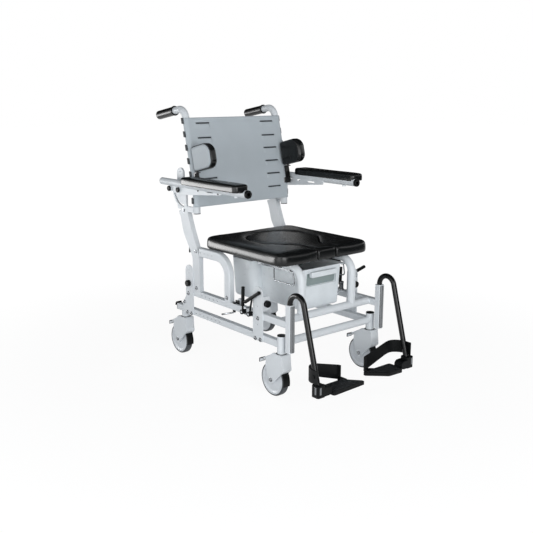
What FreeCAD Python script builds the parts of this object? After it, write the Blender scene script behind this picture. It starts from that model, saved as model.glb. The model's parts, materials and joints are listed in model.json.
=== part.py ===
import FreeCAD, Part
import math
import os

# Wheeled commode and shower chair.
# Millimetres, +Z up, +X towards the sitter's left, -Y towards the front.
# While the parts are being made, Y = 0 is the line of the front caster stems.
# Everything is moved at the end so that the origin is at the floor, in the middle of the outer box.

V = FreeCAD.Vector

# Clearances
RUNNING = 0.05          # radial, pin in bore
GAP = 0.3               # between neighbours that may move past each other
SOFT_GAP = 1.0          # round the lift-out seat insert

# Casters
WHEEL_RADIUS = 62.5
TYRE_DEPTH = 6.5
TYRE_WIDTH = 28.0
WHEEL_CORE_WIDTH = 26.0
AXLE_RADIUS = 5.0
CASTER_TRAIL = 35.6
FORK_RISE = 104.0       # axle to the top of the fork
FORK_WALL = 5.0
FORK_SIDE_GAP = 1.5
TYRE_CLEARANCE = 3.5
STEM_RADIUS = 11.0
STEM_TUBE_RADIUS = 16.0
PEDAL_REACH = 110.0
PEDAL_WIDTH = 24.0
PEDAL_THICKNESS = 6.0
PEDAL_PIN_RADIUS = 3.5
SWIVEL_BASE = 607.0     # front stems to rear stems

# Square rails
RAIL_X = 227.5
RAIL_SIZE = 25.0
RAIL_WALL = 2.0
RAIL_CORNER = 2.5
LOWER_RAIL_Z = 201.5
UPPER_RAIL_Z = 282.5
LOWER_RAIL_OVERHANG = 45.0
UPPER_RAIL_REAR = 573.0
FRONT_STEM_TOP = 232.0
HOLE_RADIUS = 2.8
HOLE_PITCH = 26.0
LOWER_HOLE_COUNT = 7
LOWER_HOLE_START = 513.0
UPPER_HOLE_COUNT = 5
UPPER_HOLE_START = 471.0

# Cross tubes
CROSSBAR_RADIUS = 14.5
TUBE_WALL = 2.0
UPPER_CROSSBAR_Y = 8.0
LOWER_CROSSBAR_RISE = 4.0
BACK_BAR_RADIUS = 10.0

# Height plates on the outer faces of the rails
PLATE_THICKNESS = 4.0
PLATE_TAIL = 12.5       # below the middle of the lower rail
FRONT_PLATE_Y = 114.0
FRONT_PLATE_WIDTH = 55.0
FRONT_PLATE_TOP = 392.0
REAR_PLATE_Y = 552.5
REAR_PLATE_WIDTH = 50.0
REAR_PLATE_TOP = 395.0
FLANGE_DEPTH = 36.0
FLANGE_HEIGHT = 52.0
FRONT_KNOB_Z = 331.0
REAR_KNOB_Z = 320.0
KNOB_RADIUS = 12.5
KNOB_LENGTH = 14.0
KNOB_PIN_RADIUS = 4.0
KNOB_PIN_LENGTH = 24.0

# Seat
SEAT_BASE_Z = 474.0     # top of the tubes that carry the cushion
CUSHION_THICKNESS = 46.0
CUSHION_HALF_WIDTH = 225.0
CUSHION_FRONT = 8.0
CUSHION_DEPTH = 470.0
CUSHION_CORNER = 38.0
CUSHION_EDGE = 14.0
OPENING_HALF_WIDTH = 140.0
OPENING_MIDDLE_Y = 264.0
CHANNEL_HALF_WIDTH = 46.0
SEAT_TUBE_X = 128.0
SEAT_TUBE_RADIUS = 15.0
SEAT_TUBE_BEND = 55.0
SEAT_CROSS_Y = 456.0
SEAT_CROSS_RADIUS = 13.0
CLIP_LENGTH = 34.0
CLIP_WIDTH = 42.0
CLIP_DEPTH = 26.0
CLIP_PLACES = [300.0, 200.0, 120.0]

# Side hoops
HOOP_WIDTH = 35.0
HOOP_BEND = 65.0
HOOP_FRONT_Y = 305.0
HOOP_REAR_END = 577.0
HOOP_HOLE_COUNT = 4
HOOP_HOLE_START = 476.0

# Back frame
POST_THICKNESS = 20.0
POST_FOOT_Y = 508.0
POST_FOOT_WIDTH = 45.0
POST_TOP_FRONT = 566.0
POST_TOP_REAR = 621.0
BACK_PLATE_THICKNESS = 8.0
BACK_PLATE_TOP = 779.0
BACK_PLATE_Y = 606.0
BACK_PLATE_WIDTH = 44.0
BACK_LINK_LOW_Z = 619.5
BACK_LINK_HEIGHT = 22.0
CANE_X = 226.0
CANE_RADIUS = 14.0
CANE_FOOT_Y = 513.0
CANE_FOOT_Z = 607.0
CANE_KNEE_Y = 517.0
CANE_KNEE_Z = 720.0
CANE_KNEE_BEND = 300.0
CANE_TOP_Y = 585.5
CANE_TOP_Z = 1010.5
CANE_TOP_BEND = 40.0
HANDLE_REACH = 181.5
HANDLE_SLOPE = 9.7      # degrees below level, towards the rear
GRIP_LENGTH = 118.0
GRIP_RADIUS = 17.5
GRIP_WALL_END = 4.0
SLING_THICKNESS = 3.0
SLING_BOTTOM = 632.0
SLING_TOP = 968.0
STRAP_COUNT = 7
STRAP_PITCH = 51.0
STRAP_HEIGHT = 22.0
STRAP_FIRST_Z = 656.0
STRAP_WRAP = 6.0        # how far a strap comes forward of the middle of its cane

# Armrests
ARM_X = 271.0
ARM_Z = 723.0
ARM_TUBE_RADIUS = 14.0
ARM_FRONT = 131.0
ARM_REAR = 686.0
ARM_PIVOT_Y = 586.0
ARM_PIVOT_DROP = 28.0
ARM_SLOT_RADIUS = 64.0
ARM_GUIDE_RADIUS = 4.5
ARM_SECTOR_RIM = 9.0    # metal outside the slot
ARM_PIN_RADIUS = 6.0
ARM_BUSH_RADIUS = 11.0
ARM_HEAD_RADIUS = 10.0
GUSSET_INNER_X = 256.0
GUSSET_THICKNESS = 4.0
GUSSET_FRONT = 307.0
GUSSET_REAR_DEPTH = 46.0
GUSSET_FRONT_DEPTH = 21.0
PAD_INNER_X = 256.0
PAD_WIDTH = 66.0
PAD_FRONT = 140.5
PAD_LENGTH = 350.0
PAD_BOTTOM = 729.0
PAD_THICKNESS = 28.0

# Lateral supports
LATERAL_HINGE_X = 233.0
LATERAL_HINGE_FORWARD = 30.0    # from the middle of the cane
LATERAL_REAR_MARGIN = 8.0
LATERAL_OUTER_X = 242.0
LATERAL_THICKNESS = 44.0
LATERAL_BOTTOM = 763.0
LATERAL_HEIGHT = 110.0
LATERAL_DEPTH = 140.0
LATERAL_PIN_RADIUS = 4.0
LATERAL_PIN_LENGTH = 60.0

# Commode pan
PAN_TOP = 442.0
PAN_BOTTOM = 288.0
PAN_WALL = 3.0
PAN_FRONT = 37.5
PAN_REAR = 412.0
PAN_STEP_Y = 262.0
PAN_FRONT_HALF = 104.0
PAN_REAR_HALF = 143.0
PAN_DRAFT = 7.0
PAN_RIM_HALF = 117.0
PAN_RIM_THICKNESS = 3.0
PAN_HANDLE_HALF = 64.0
PAN_HANDLE_DEPTH = 16.0
PAN_HANDLE_HEIGHT = 19.0
PAN_RECESS_DEPTH = 9.0
RUNNER_THICKNESS = 3.0
RUNNER_LENGTH = 215.0
GUARD_WIRE_RADIUS = 2.5
GUARD_WIRE_DROP = 55.0

# Footrests
RECEIVER_Y = -44.0
RECEIVER_SIZE = 24.0
RECEIVER_BOTTOM = 181.0
RECEIVER_TOP = 355.0
RECEIVER_FLOOR = 7.0
NECK_RADIUS = 10.0
NECK_BEND = 36.0
NECK_BEND_Z = 358.0
NECK_RAKE = 15.3        # degrees from vertical
NECK_BOTTOM = 72.0
BRACKET_SIZE = 36.0      # across, and front to rear
BRACKET_BOTTOM = 65.0
BRACKET_TOP = 107.0
FLAP_PIN_X = 193.5
FLAP_PIN_Z = 82.0
FLAP_PIN_RADIUS = 4.0
FLAP_KNUCKLE_RADIUS = 15.0
FLAP_EAR = 8.0
FOOTPLATE_TOP = 78.0
FOOTPLATE_ROOT = 16.0
FOOTPLATE_TIP = 12.0
FOOTPLATE_FRONT = -217.5
FOOTPLATE_REAR = -150.0
LEFT_PLATE_TIP_X = 36.0
LEFT_PLATE_CORNER_X = 103.0     # where the slanted front inner edge starts
RIGHT_PLATE_TIP_X = 28.0
RIGHT_PLATE_CORNER_X = 76.0     # where the slanted rear inner edge starts
FOOTPLATE_TIP_WIDTH = 12.0
HEEL_POST_X = 66.0
HEEL_POST_RADIUS = 3.5
HEEL_POST_HEIGHT = 44.0
STRAP_THICKNESS = 2.5
HEEL_STRAP_BEND = 48.0
HEEL_STRAP_CORNER = 150.0
HEEL_POST_REACH = 21.0    # how far the post stands behind the footplate
HEEL_OUTER_TOP = 158.0
HEEL_OUTER_BOTTOM = 110.0
HEEL_INNER_TOP = 122.0
HEEL_INNER_BOTTOM = 67.0

# Hand levers on the upper rails
CLAMP_LEVER_Y = 192.0
CLAMP_LEVER_RISE = 96.0
RELEASE_LEVER_Y = 152.0
RELEASE_GRIP_LENGTH = 98.0
RELEASE_RIGHT_REACH = 68.0
RELEASE_LEFT_REACH = 108.0
RELEASE_RIGHT_LEAN = 14.0
RELEASE_LEFT_LEAN = 28.5
RELEASE_GRIP_TILT = 32.0
LEVER_GRIP_RADIUS = 6.5
LEVER_ROD_RADIUS = 3.5
LEVER_HUB_RADIUS = 9.0
LEVER_PIN_RADIUS = 4.0

# Fasteners
HEAD_RADIUS = 6.5
HEAD_HEIGHT = 4.0
CAP_THICKNESS = 3.0
HOOK_RADIUS = 15.0      # hook on the rear end of each lower side tube
HOOK_THICKNESS = 4.0
HOOK_WIDTH = 20.0

# Derived places
RAIL_OUTER_X = RAIL_X + RAIL_SIZE / 2
RAIL_INNER_X = RAIL_X - RAIL_SIZE / 2
FORK_TOP = WHEEL_RADIUS + FORK_RISE
STEM_TUBE_BOTTOM = FORK_TOP + 1.5
FORK_HALF_SLOT = TYRE_WIDTH / 2 + FORK_SIDE_GAP
FORK_HALF_WIDTH = FORK_HALF_SLOT + FORK_WALL
PEDAL_PIN_Y = 30.0
PEDAL_PIN_Z = FORK_TOP - 14.5
PLATE_OUTER_X = RAIL_OUTER_X + PLATE_THICKNESS
PLATE_BOTTOM = LOWER_RAIL_Z - PLATE_TAIL
FLANGE_Y = FRONT_PLATE_Y - FRONT_PLATE_WIDTH / 2
FLANGE_X = PLATE_OUTER_X - FLANGE_DEPTH
FRONT_KNOB_X = PLATE_OUTER_X - FLANGE_DEPTH / 2
SEAT_TUBE_Z = SEAT_BASE_Z - SEAT_TUBE_RADIUS
SEAT_CROSS_Z = SEAT_BASE_Z - SEAT_CROSS_RADIUS - 2.0
CUSHION_TOP = SEAT_BASE_Z + CUSHION_THICKNESS
CUSHION_REAR = CUSHION_FRONT + CUSHION_DEPTH
HOOP_Z = SEAT_BASE_Z - HOOP_WIDTH / 2
POST_FRONT_Y = POST_FOOT_Y - POST_FOOT_WIDTH / 2
POST_REAR_Y = POST_FOOT_Y + POST_FOOT_WIDTH / 2
POST_FOOT_Z = UPPER_RAIL_Z + RAIL_SIZE / 2
BACK_PLATE_INNER_X = RAIL_OUTER_X - BACK_PLATE_THICKNESS
LEVER_X = PLATE_OUTER_X + 1.5 + LEVER_GRIP_RADIUS
LEVER_HUB_END = LEVER_X + LEVER_GRIP_RADIUS
GUSSET_OUTER_X = GUSSET_INNER_X + GUSSET_THICKNESS
ARM_PIVOT_Z = ARM_Z - ARM_PIVOT_DROP
SLEEVE_INNER = CANE_RADIUS + GAP
SLEEVE_OUTER = SLEEVE_INNER + SLING_THICKNESS
LATERAL_CLAMP_Z = STRAP_FIRST_Z + STRAP_PITCH
CANE_LEAN = math.atan2(CANE_TOP_Y - CANE_KNEE_Y, CANE_TOP_Z - CANE_KNEE_Z)
CANE_AT_LATERAL_Y = CANE_KNEE_Y + (LATERAL_BOTTOM - CANE_KNEE_Z) * math.tan(CANE_LEAN)
BACK_BAR_Y = (CANE_FOOT_Y + CANE_KNEE_Y) / 2
BACK_BAR_Z = STRAP_FIRST_Z + STRAP_PITCH / 2
RUNNER_TOP = PAN_TOP - PAN_RIM_THICKNESS - GAP
PAN_REAR_TOP = SEAT_TUBE_Z - SEAT_TUBE_RADIUS - 1.0
NECK_BOTTOM_Z = RECEIVER_BOTTOM + RECEIVER_FLOOR + GAP
HEEL_STRAP_X = RAIL_X + NECK_RADIUS + GAP + STRAP_THICKNESS / 2
HEEL_POST_Y = FOOTPLATE_REAR + HEEL_POST_REACH - HEEL_POST_RADIUS
BRACKET_INNER_X = RAIL_X - BRACKET_SIZE / 2
BRACKET_OUTER_X = RAIL_X + BRACKET_SIZE / 2
FOOTPLATE_OUTER_X = FLAP_PIN_X - FLAP_KNUCKLE_RADIUS - 1.0
HEEL_STRAP_Y = HEEL_POST_Y + HEEL_POST_RADIUS + GAP + 1.0 + STRAP_THICKNESS / 2
HANDLE_ANGLE = math.radians(HANDLE_SLOPE)
HANDLE_END_Y = CANE_TOP_Y + HANDLE_REACH * math.cos(HANDLE_ANGLE)
HANDLE_END_Z = CANE_TOP_Z - HANDLE_REACH * math.sin(HANDLE_ANGLE)
GRIP_END_Y = HANDLE_END_Y + GRIP_WALL_END * math.cos(HANDLE_ANGLE) + GRIP_RADIUS * math.sin(HANDLE_ANGLE)
CENTRE_Y = (FOOTPLATE_FRONT + GRIP_END_Y) / 2


# Small tools

def box(x0, x1, y0, y1, z0, z1):
    return Part.makeBox(x1 - x0, y1 - y0, z1 - z0, V(x0, y0, z0))


def cylinder(centre, axis, radius, length):
    return Part.makeCylinder(radius, length, centre, axis)


def along_x(x0, x1, y, z, radius):
    return cylinder(V(x0, y, z), V(1, 0, 0), radius, x1 - x0)


def along_y(x, y0, y1, z, radius):
    return cylinder(V(x, y0, z), V(0, 1, 0), radius, y1 - y0)


def along_z(x, y, z0, z1, radius):
    return cylinder(V(x, y, z0), V(0, 0, 1), radius, z1 - z0)


def fuse(*shapes):
    result = shapes[0].multiFuse(list(shapes[1:])) if len(shapes) > 1 else shapes[0]
    return result.removeSplitter()


def mirrored(shape):
    return shape.mirror(V(0, 0, 0), V(1, 0, 0))


def group(*shapes):
    solids = [solid for shape in shapes for solid in shape.Solids]
    return Part.makeCompound(solids)


def pair(shape):
    """The shape and its mirror image, as separate solids."""
    return group(shape, mirrored(shape))


def rounded_edges(points, closed):
    """Straight runs joined by tangent arcs. Each point is (a, b) or (a, b, radius)."""
    corners = [V(p[0], p[1], 0) for p in points]
    radii = [p[2] if len(p) > 2 else 0.0 for p in points]
    count = len(points)
    starts = []
    ends = []
    arcs = []
    for i in range(count):
        at_end = not closed and i in (0, count - 1)
        if radii[i] <= 0 or at_end:
            starts.append(corners[i])
            ends.append(corners[i])
            arcs.append(None)
            continue
        into = (corners[i - 1] - corners[i]).normalize()
        out = (corners[(i + 1) % count] - corners[i]).normalize()
        half = into.getAngle(out) / 2
        reach = radii[i] / math.tan(half)
        middle = (into + out).normalize()
        centre = corners[i] + middle * (radii[i] / math.sin(half))
        start = corners[i] + into * reach
        end = corners[i] + out * reach
        starts.append(start)
        ends.append(end)
        arcs.append(Part.Arc(start, centre - middle * radii[i], end).toShape())
    edges = []
    for i in range(count):
        if arcs[i]:
            edges.append(arcs[i])
        following = (i + 1) % count
        if following == 0 and not closed:
            break
        if (starts[following] - ends[i]).Length > 1e-6:
            edges.append(Part.LineSegment(ends[i], starts[following]).toShape())
    return edges


def outline(points):
    return Part.Wire(rounded_edges(points, True))


def profile_yz(points, x0, x1):
    """A closed outline of (y, z) points, thick from x0 to x1."""
    face = Part.Face(outline(points))
    face.Placement = FreeCAD.Placement(V(x0, 0, 0), FreeCAD.Rotation(V(1, 1, 1), 120))
    return face.extrude(V(x1 - x0, 0, 0))


def profile_xy(points, z0, z1):
    face = Part.Face(outline(points))
    face.translate(V(0, 0, z0))
    return face.extrude(V(0, 0, z1 - z0))


def profile_xz(points, y0, y1):
    face = Part.Face(outline(points))
    face.Placement = FreeCAD.Placement(V(0, y0, 0), FreeCAD.Rotation(V(1, 0, 0), 90))
    return face.extrude(V(0, y1 - y0, 0))


def path_yz(points, x):
    """An open path of (y, z) points with tangent bends, in the plane at x."""
    wire = Part.Wire(rounded_edges(points, False))
    wire.Placement = FreeCAD.Placement(V(x, 0, 0), FreeCAD.Rotation(V(1, 1, 1), 120))
    return wire


def sweep(path, section):
    return path.makePipeShell([section], True, False)


def round_rod(path, radius):
    first = path.OrderedEdges[0]
    start = first.valueAt(first.FirstParameter)
    direction = first.tangentAt(first.FirstParameter)
    circle = Part.Wire(Part.makeCircle(radius, start, direction))
    return sweep(path, circle)


def round_tube(path, radius, wall):
    return round_rod(path, radius).cut(round_rod(path, radius - wall))


def rounded_box(x0, x1, y0, y1, z0, z1, corner):
    """A box with its upright edges rounded."""
    points = [(x0, y0, corner), (x1, y0, corner), (x1, y1, corner), (x0, y1, corner)]
    return profile_xy(points, z0, z1)


def soft_edge(shape, radius, chosen):
    edges = [edge for edge in shape.Edges if chosen(edge)]
    return shape.makeFillet(radius, edges)


def level_edge(z):
    def test(edge):
        low, high = edge.BoundBox.ZMin, edge.BoundBox.ZMax
        return abs(low - z) < 0.01 and abs(high - z) < 0.01
    return test


# Casters, made with the stem on the Z axis and the wheel trailing towards +Y

def caster_fork():
    half = FORK_HALF_WIDTH
    top = FORK_TOP
    nose = WHEEL_RADIUS + 45.5
    cheek = profile_yz([
        (-25.0, top, 4.0), (26.0, top, 8.0), (62.0, top - 28.0, 14.0), (66.0, nose + 4.0, 14.0),
        (CASTER_TRAIL + 11.0, WHEEL_RADIUS - 12.5, 8.0), (CASTER_TRAIL - 8.5, WHEEL_RADIUS - 12.5, 8.0),
        (-31.0, nose, 8.0)], -half, half)
    tunnel = along_x(-FORK_HALF_SLOT, FORK_HALF_SLOT, CASTER_TRAIL, WHEEL_RADIUS,
        WHEEL_RADIUS + TYRE_CLEARANCE)
    below = box(-FORK_HALF_SLOT, FORK_HALF_SLOT, CASTER_TRAIL - WHEEL_RADIUS - TYRE_CLEARANCE,
                CASTER_TRAIL + WHEEL_RADIUS + TYRE_CLEARANCE, 0.0, WHEEL_RADIUS)
    seat_half = PEDAL_WIDTH / 2 + 0.6
    pedal_seat = profile_yz([
        (PEDAL_PIN_Y - 15.0, PEDAL_PIN_Z - 7.5), (PEDAL_PIN_Y + 4.0, PEDAL_PIN_Z - 10.0),
        (PEDAL_PIN_Y + 40.0, PEDAL_PIN_Z - 27.0), (PEDAL_PIN_Y + 60.0, PEDAL_PIN_Z - 27.0),
        (PEDAL_PIN_Y + 60.0, top + 5.0), (PEDAL_PIN_Y - 15.0, top + 5.0)], -seat_half, seat_half)
    body = cheek.cut(tunnel).cut(below).cut(pedal_seat)
    axle = along_x(-half - 2.0, half + 2.0, CASTER_TRAIL, WHEEL_RADIUS, AXLE_RADIUS)
    pin = along_x(-half, half, PEDAL_PIN_Y, PEDAL_PIN_Z, PEDAL_PIN_RADIUS)
    collar = along_z(0, 0, top, STEM_TUBE_BOTTOM - GAP, STEM_TUBE_RADIUS - 1.0)
    return fuse(body, axle, pin, collar)


def caster_stem(length):
    return along_z(0, 0, FORK_TOP - 1.0, STEM_TUBE_BOTTOM + length, STEM_RADIUS)


def caster_wheel():
    core_radius = WHEEL_RADIUS - TYRE_DEPTH
    half = WHEEL_CORE_WIDTH / 2
    dish = 3.0
    hub_radius = 14.0
    profile = Part.Wire(rounded_edges([
        (AXLE_RADIUS + RUNNING, -half, 0), (hub_radius, -half, 0), (hub_radius + 5.0, dish - half, 6.0),
        (core_radius - 12.0, dish - half, 6.0), (core_radius - 6.0, -half, 2.0), (core_radius, -half, 0),
        (core_radius, half, 0), (core_radius - 6.0, half, 2.0), (core_radius - 12.0, half - dish, 6.0),
        (hub_radius + 5.0, half - dish, 6.0), (hub_radius, half, 0),
        (AXLE_RADIUS + RUNNING, half, 0)], True))
    return turned_on_axle(profile)


def caster_tyre():
    core_radius = WHEEL_RADIUS - TYRE_DEPTH
    half = TYRE_WIDTH / 2
    profile = Part.Wire(rounded_edges([
        (core_radius, -half, 0), (WHEEL_RADIUS, -half, 6.0),
        (WHEEL_RADIUS, half, 6.0), (core_radius, half, 0)], True))
    return turned_on_axle(profile)


def turned_on_axle(profile):
    """Turn a (radius, width) profile round the wheel's axle."""
    solid = Part.Face(profile).revolve(V(0, 0, 0), V(0, 1, 0), 360)
    quarter_turn = FreeCAD.Rotation(V(0, 0, 1), -90)
    solid.Placement = FreeCAD.Placement(V(0, CASTER_TRAIL, WHEEL_RADIUS), quarter_turn)
    return solid


def caster_pedal():
    half = PEDAL_WIDTH / 2
    y = PEDAL_PIN_Y
    z = PEDAL_PIN_Z
    thick = PEDAL_THICKNESS
    lever = profile_yz([
        (y - 9.0, z - 5.0, 4.0), (y + 4.0, z - 5.5, 4.0), (y + 44.0, z - 21.0, 20.0),
        (PEDAL_REACH - 10.0, z - 37.5, 6.0), (PEDAL_REACH, z - 43.0, 2.0), (PEDAL_REACH, z - 29.0, 5.0),
        (PEDAL_REACH - 14.0, z - 26.0, 8.0), (y + 44.0, z - 19.0 + thick, 20.0),
        (y + 8.0, z + thick, 6.0), (y - 9.0, z + thick, 4.0)], -half, half)
    bore = along_x(-half - 1, half + 1, y, z, PEDAL_PIN_RADIUS + RUNNING)
    return lever.cut(bore)


# Frame

def square_tube(x, y0, y1, z):
    half = RAIL_SIZE / 2
    outer = profile_xz([(x - half, z - half, RAIL_CORNER), (x + half, z - half, RAIL_CORNER),
                        (x + half, z + half, RAIL_CORNER), (x - half, z + half, RAIL_CORNER)], y0, y1)
    core = half - RAIL_WALL
    inner = box(x - core, x + core, y0 - 1, y1 + 1, z - core, z + core)
    return outer, inner


def side_holes(first_y, count, z, x_inner):
    """Adjusting holes through the outer wall of a side tube."""
    holes = [along_x(x_inner, RAIL_OUTER_X + 1, first_y - i * HOLE_PITCH, z, HOLE_RADIUS)
             for i in range(count)]
    return Part.makeCompound(holes)


def base_rail():
    rear_end = SWIVEL_BASE + LOWER_RAIL_OVERHANG
    outer, inner = square_tube(RAIL_X, 0.0, rear_end, LOWER_RAIL_Z)
    inner = inner.common(box(0, 2 * RAIL_X, STEM_TUBE_RADIUS - RAIL_WALL, rear_end + 5, 0,
        LOWER_RAIL_Z + RAIL_SIZE))
    front_socket = along_z(RAIL_X, 0, STEM_TUBE_BOTTOM, FRONT_STEM_TOP, STEM_TUBE_RADIUS)
    rear_socket = along_z(RAIL_X, SWIVEL_BASE, STEM_TUBE_BOTTOM, LOWER_RAIL_Z, STEM_TUBE_RADIUS)
    front_bore = along_z(RAIL_X, 0, STEM_TUBE_BOTTOM - 1, FRONT_STEM_TOP - 4.0, STEM_RADIUS + RUNNING)
    rear_bore = along_z(RAIL_X, SWIVEL_BASE, STEM_TUBE_BOTTOM - 1,
                        LOWER_RAIL_Z + RAIL_SIZE / 2 - RAIL_WALL, STEM_RADIUS + RUNNING)
    body = fuse(outer, front_socket, rear_socket.common(box(
        0, 2 * RAIL_X, 0, rear_end, 0, LOWER_RAIL_Z - RAIL_SIZE / 2 + RAIL_WALL)))
    holes = side_holes(LOWER_HOLE_START, LOWER_HOLE_COUNT, LOWER_RAIL_Z, RAIL_X)
    return body.cut(inner).cut(front_bore).cut(rear_bore).cut(holes)


def upper_rail():
    front_end = RECEIVER_Y + RECEIVER_SIZE / 2 - 1.0
    outer, inner = square_tube(RAIL_X, front_end, UPPER_RAIL_REAR, UPPER_RAIL_Z)
    inner = inner.common(box(0, 2 * RAIL_X, front_end + 1.0, UPPER_RAIL_REAR + 5, 0, 2 * UPPER_RAIL_Z))
    half = RECEIVER_SIZE / 2
    receiver = rounded_box(RAIL_X - half, RAIL_X + half, RECEIVER_Y - half, RECEIVER_Y + half,
                           RECEIVER_BOTTOM, RECEIVER_TOP, RAIL_CORNER)
    socket = along_z(RAIL_X, RECEIVER_Y, RECEIVER_BOTTOM + RECEIVER_FLOOR, RECEIVER_TOP + 1,
        NECK_RADIUS + RUNNING)
    pin_end = LEVER_HUB_END
    clamp_pin = along_x(RAIL_OUTER_X - RAIL_WALL, pin_end, CLAMP_LEVER_Y, UPPER_RAIL_Z, LEVER_PIN_RADIUS)
    release_pin = along_x(RAIL_OUTER_X - RAIL_WALL, pin_end, RELEASE_LEVER_Y, UPPER_RAIL_Z,
        LEVER_PIN_RADIUS)
    holes = side_holes(UPPER_HOLE_START, UPPER_HOLE_COUNT, UPPER_RAIL_Z, RAIL_X)
    hollow = outer.cut(inner).cut(holes)
    return fuse(hollow, receiver, clamp_pin, release_pin).cut(socket)


def cross_tube(half_length, y, z, radius):
    return along_x(-half_length, half_length, y, z, radius).cut(
        along_x(-half_length, half_length, y, z, radius - TUBE_WALL))


def crossbars():
    upper = cross_tube(RAIL_INNER_X, UPPER_CROSSBAR_Y, UPPER_RAIL_Z, CROSSBAR_RADIUS)
    stems = pair(along_z(RAIL_X, 0, STEM_TUBE_BOTTOM - 5, FRONT_STEM_TOP + 5, STEM_TUBE_RADIUS))
    lower = cross_tube(RAIL_X, 0.0, LOWER_RAIL_Z + LOWER_CROSSBAR_RISE, CROSSBAR_RADIUS).cut(stems)
    rails = box(RAIL_INNER_X, RAIL_OUTER_X, -RAIL_SIZE, RAIL_SIZE,
                LOWER_RAIL_Z - RAIL_SIZE / 2, LOWER_RAIL_Z + RAIL_SIZE / 2)
    lower = lower.cut(pair(rails))
    seat = cross_tube(RAIL_INNER_X, SEAT_CROSS_Y, SEAT_CROSS_Z, SEAT_CROSS_RADIUS)
    back = cross_tube(CANE_X, BACK_BAR_Y, BACK_BAR_Z, BACK_BAR_RADIUS)
    back = back.cut(pair(cane_core(CANE_RADIUS)))
    return group(upper, lower, seat, back)


def height_plates():
    x0 = RAIL_OUTER_X
    x1 = PLATE_OUTER_X
    half = FRONT_PLATE_WIDTH / 2
    y = FRONT_PLATE_Y
    front = profile_yz([
        (y - half, PLATE_BOTTOM, 6.0), (y + half, PLATE_BOTTOM, 6.0),
        (y + half, FRONT_PLATE_TOP, half - 0.5),
        (y - half, FRONT_PLATE_TOP, half - 0.5)], x0, x1)
    low = FRONT_KNOB_Z - FLANGE_HEIGHT / 2
    high = FRONT_KNOB_Z + FLANGE_HEIGHT / 2
    flange = profile_xz([(FLANGE_X, low, 12.0), (x1, low), (x1, high), (FLANGE_X, high, 12.0)],
                        FLANGE_Y, FLANGE_Y + PLATE_THICKNESS)
    boss = along_y(FRONT_KNOB_X, FLANGE_Y, FLANGE_Y + KNOB_PIN_LENGTH, FRONT_KNOB_Z, 2 * KNOB_PIN_RADIUS)
    bore = along_y(FRONT_KNOB_X, FLANGE_Y - 1, FLANGE_Y + KNOB_PIN_LENGTH + 1, FRONT_KNOB_Z,
                   KNOB_PIN_RADIUS + RUNNING)
    holes = [along_x(x0 - 1, x1 + 1, y, z, HOLE_RADIUS)
             for z in (LOWER_RAIL_Z + 49.0, UPPER_RAIL_Z + 36.0, FRONT_PLATE_TOP - 18.0)]
    front = fuse(front, flange, boss).cut(bore).cut(Part.makeCompound(holes))

    half = REAR_PLATE_WIDTH / 2
    y = REAR_PLATE_Y
    heel = 26.0
    rear = profile_yz([
        (y - half, PLATE_BOTTOM, 6.0), (y - half, REAR_PLATE_TOP, half - 0.5),
        (y + half, REAR_PLATE_TOP, half - 0.5), (y + half, UPPER_RAIL_Z - 20.0, 20.0),
        (y + half + heel, LOWER_RAIL_Z + 22.0, 12.0), (y + half + heel - 8.0, PLATE_BOTTOM, 8.0)], x0, x1)
    rear_boss = along_x(x1 - KNOB_PIN_LENGTH, x0, y, REAR_KNOB_Z, 2 * KNOB_PIN_RADIUS)
    rear_bore = along_x(x1 - KNOB_PIN_LENGTH - 1, x1 + 1, y, REAR_KNOB_Z, KNOB_PIN_RADIUS + RUNNING)
    holes = [along_x(x0 - 1, x1 + 1, y, REAR_PLATE_TOP - 18.0 - i * 14.0, HOLE_RADIUS) for i in range(2)]
    rear = fuse(rear, rear_boss).cut(rear_bore).cut(Part.makeCompound(holes))
    return group(pair(front), pair(rear))


def front_knob():
    """Pull knob whose pin runs back through the flange of the front plate."""
    front = FLANGE_Y - GAP - KNOB_LENGTH
    head = along_y(FRONT_KNOB_X, front, FLANGE_Y - GAP, FRONT_KNOB_Z, KNOB_RADIUS)
    head = soft_edge(head, 3.0, lambda edge: edge.BoundBox.YMax < front + 0.01)
    pin = along_y(FRONT_KNOB_X, front + 1, FLANGE_Y + KNOB_PIN_LENGTH, FRONT_KNOB_Z, KNOB_PIN_RADIUS)
    return fuse(head, pin)


def rear_knob():
    outer = PLATE_OUTER_X + GAP + KNOB_LENGTH
    head = along_x(PLATE_OUTER_X + GAP, outer, REAR_PLATE_Y, REAR_KNOB_Z, KNOB_RADIUS)
    head = soft_edge(head, 3.0, lambda edge: edge.BoundBox.XMin > outer - 0.01)
    pin = along_x(PLATE_OUTER_X - KNOB_PIN_LENGTH, outer - 1, REAR_PLATE_Y, REAR_KNOB_Z, KNOB_PIN_RADIUS)
    return fuse(head, pin)


def side_hoop():
    def tube(inset):
        half_x = RAIL_SIZE / 2 - inset
        half_y = HOOP_WIDTH / 2 - inset
        corner = max(5.0 - inset, 1.0)
        section = outline([
            (RAIL_X - half_x, HOOP_FRONT_Y - half_y, corner),
            (RAIL_X + half_x, HOOP_FRONT_Y - half_y, corner),
            (RAIL_X + half_x, HOOP_FRONT_Y + half_y, corner),
            (RAIL_X - half_x, HOOP_FRONT_Y + half_y, corner)])
        section.translate(V(0, 0, POST_FOOT_Z))
        path = path_yz([(HOOP_FRONT_Y, POST_FOOT_Z), (HOOP_FRONT_Y, HOOP_Z, HOOP_BEND),
                        (HOOP_REAR_END, HOOP_Z)], RAIL_X)
        return sweep(path, section)
    holes = side_holes(HOOP_HOLE_START, HOOP_HOLE_COUNT, HOOP_Z, RAIL_X)
    return tube(0.0).cut(tube(RAIL_WALL)).cut(holes).cut(post_slot())


def post_slot():
    """Room in the end of the hoop for the back post that is bolted beside it."""
    return box(RAIL_OUTER_X - POST_THICKNESS, RAIL_OUTER_X + 1, POST_FRONT_Y, HOOP_REAR_END + 1,
               HOOP_Z - HOOP_WIDTH, HOOP_Z + HOOP_WIDTH)


# Back

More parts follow.
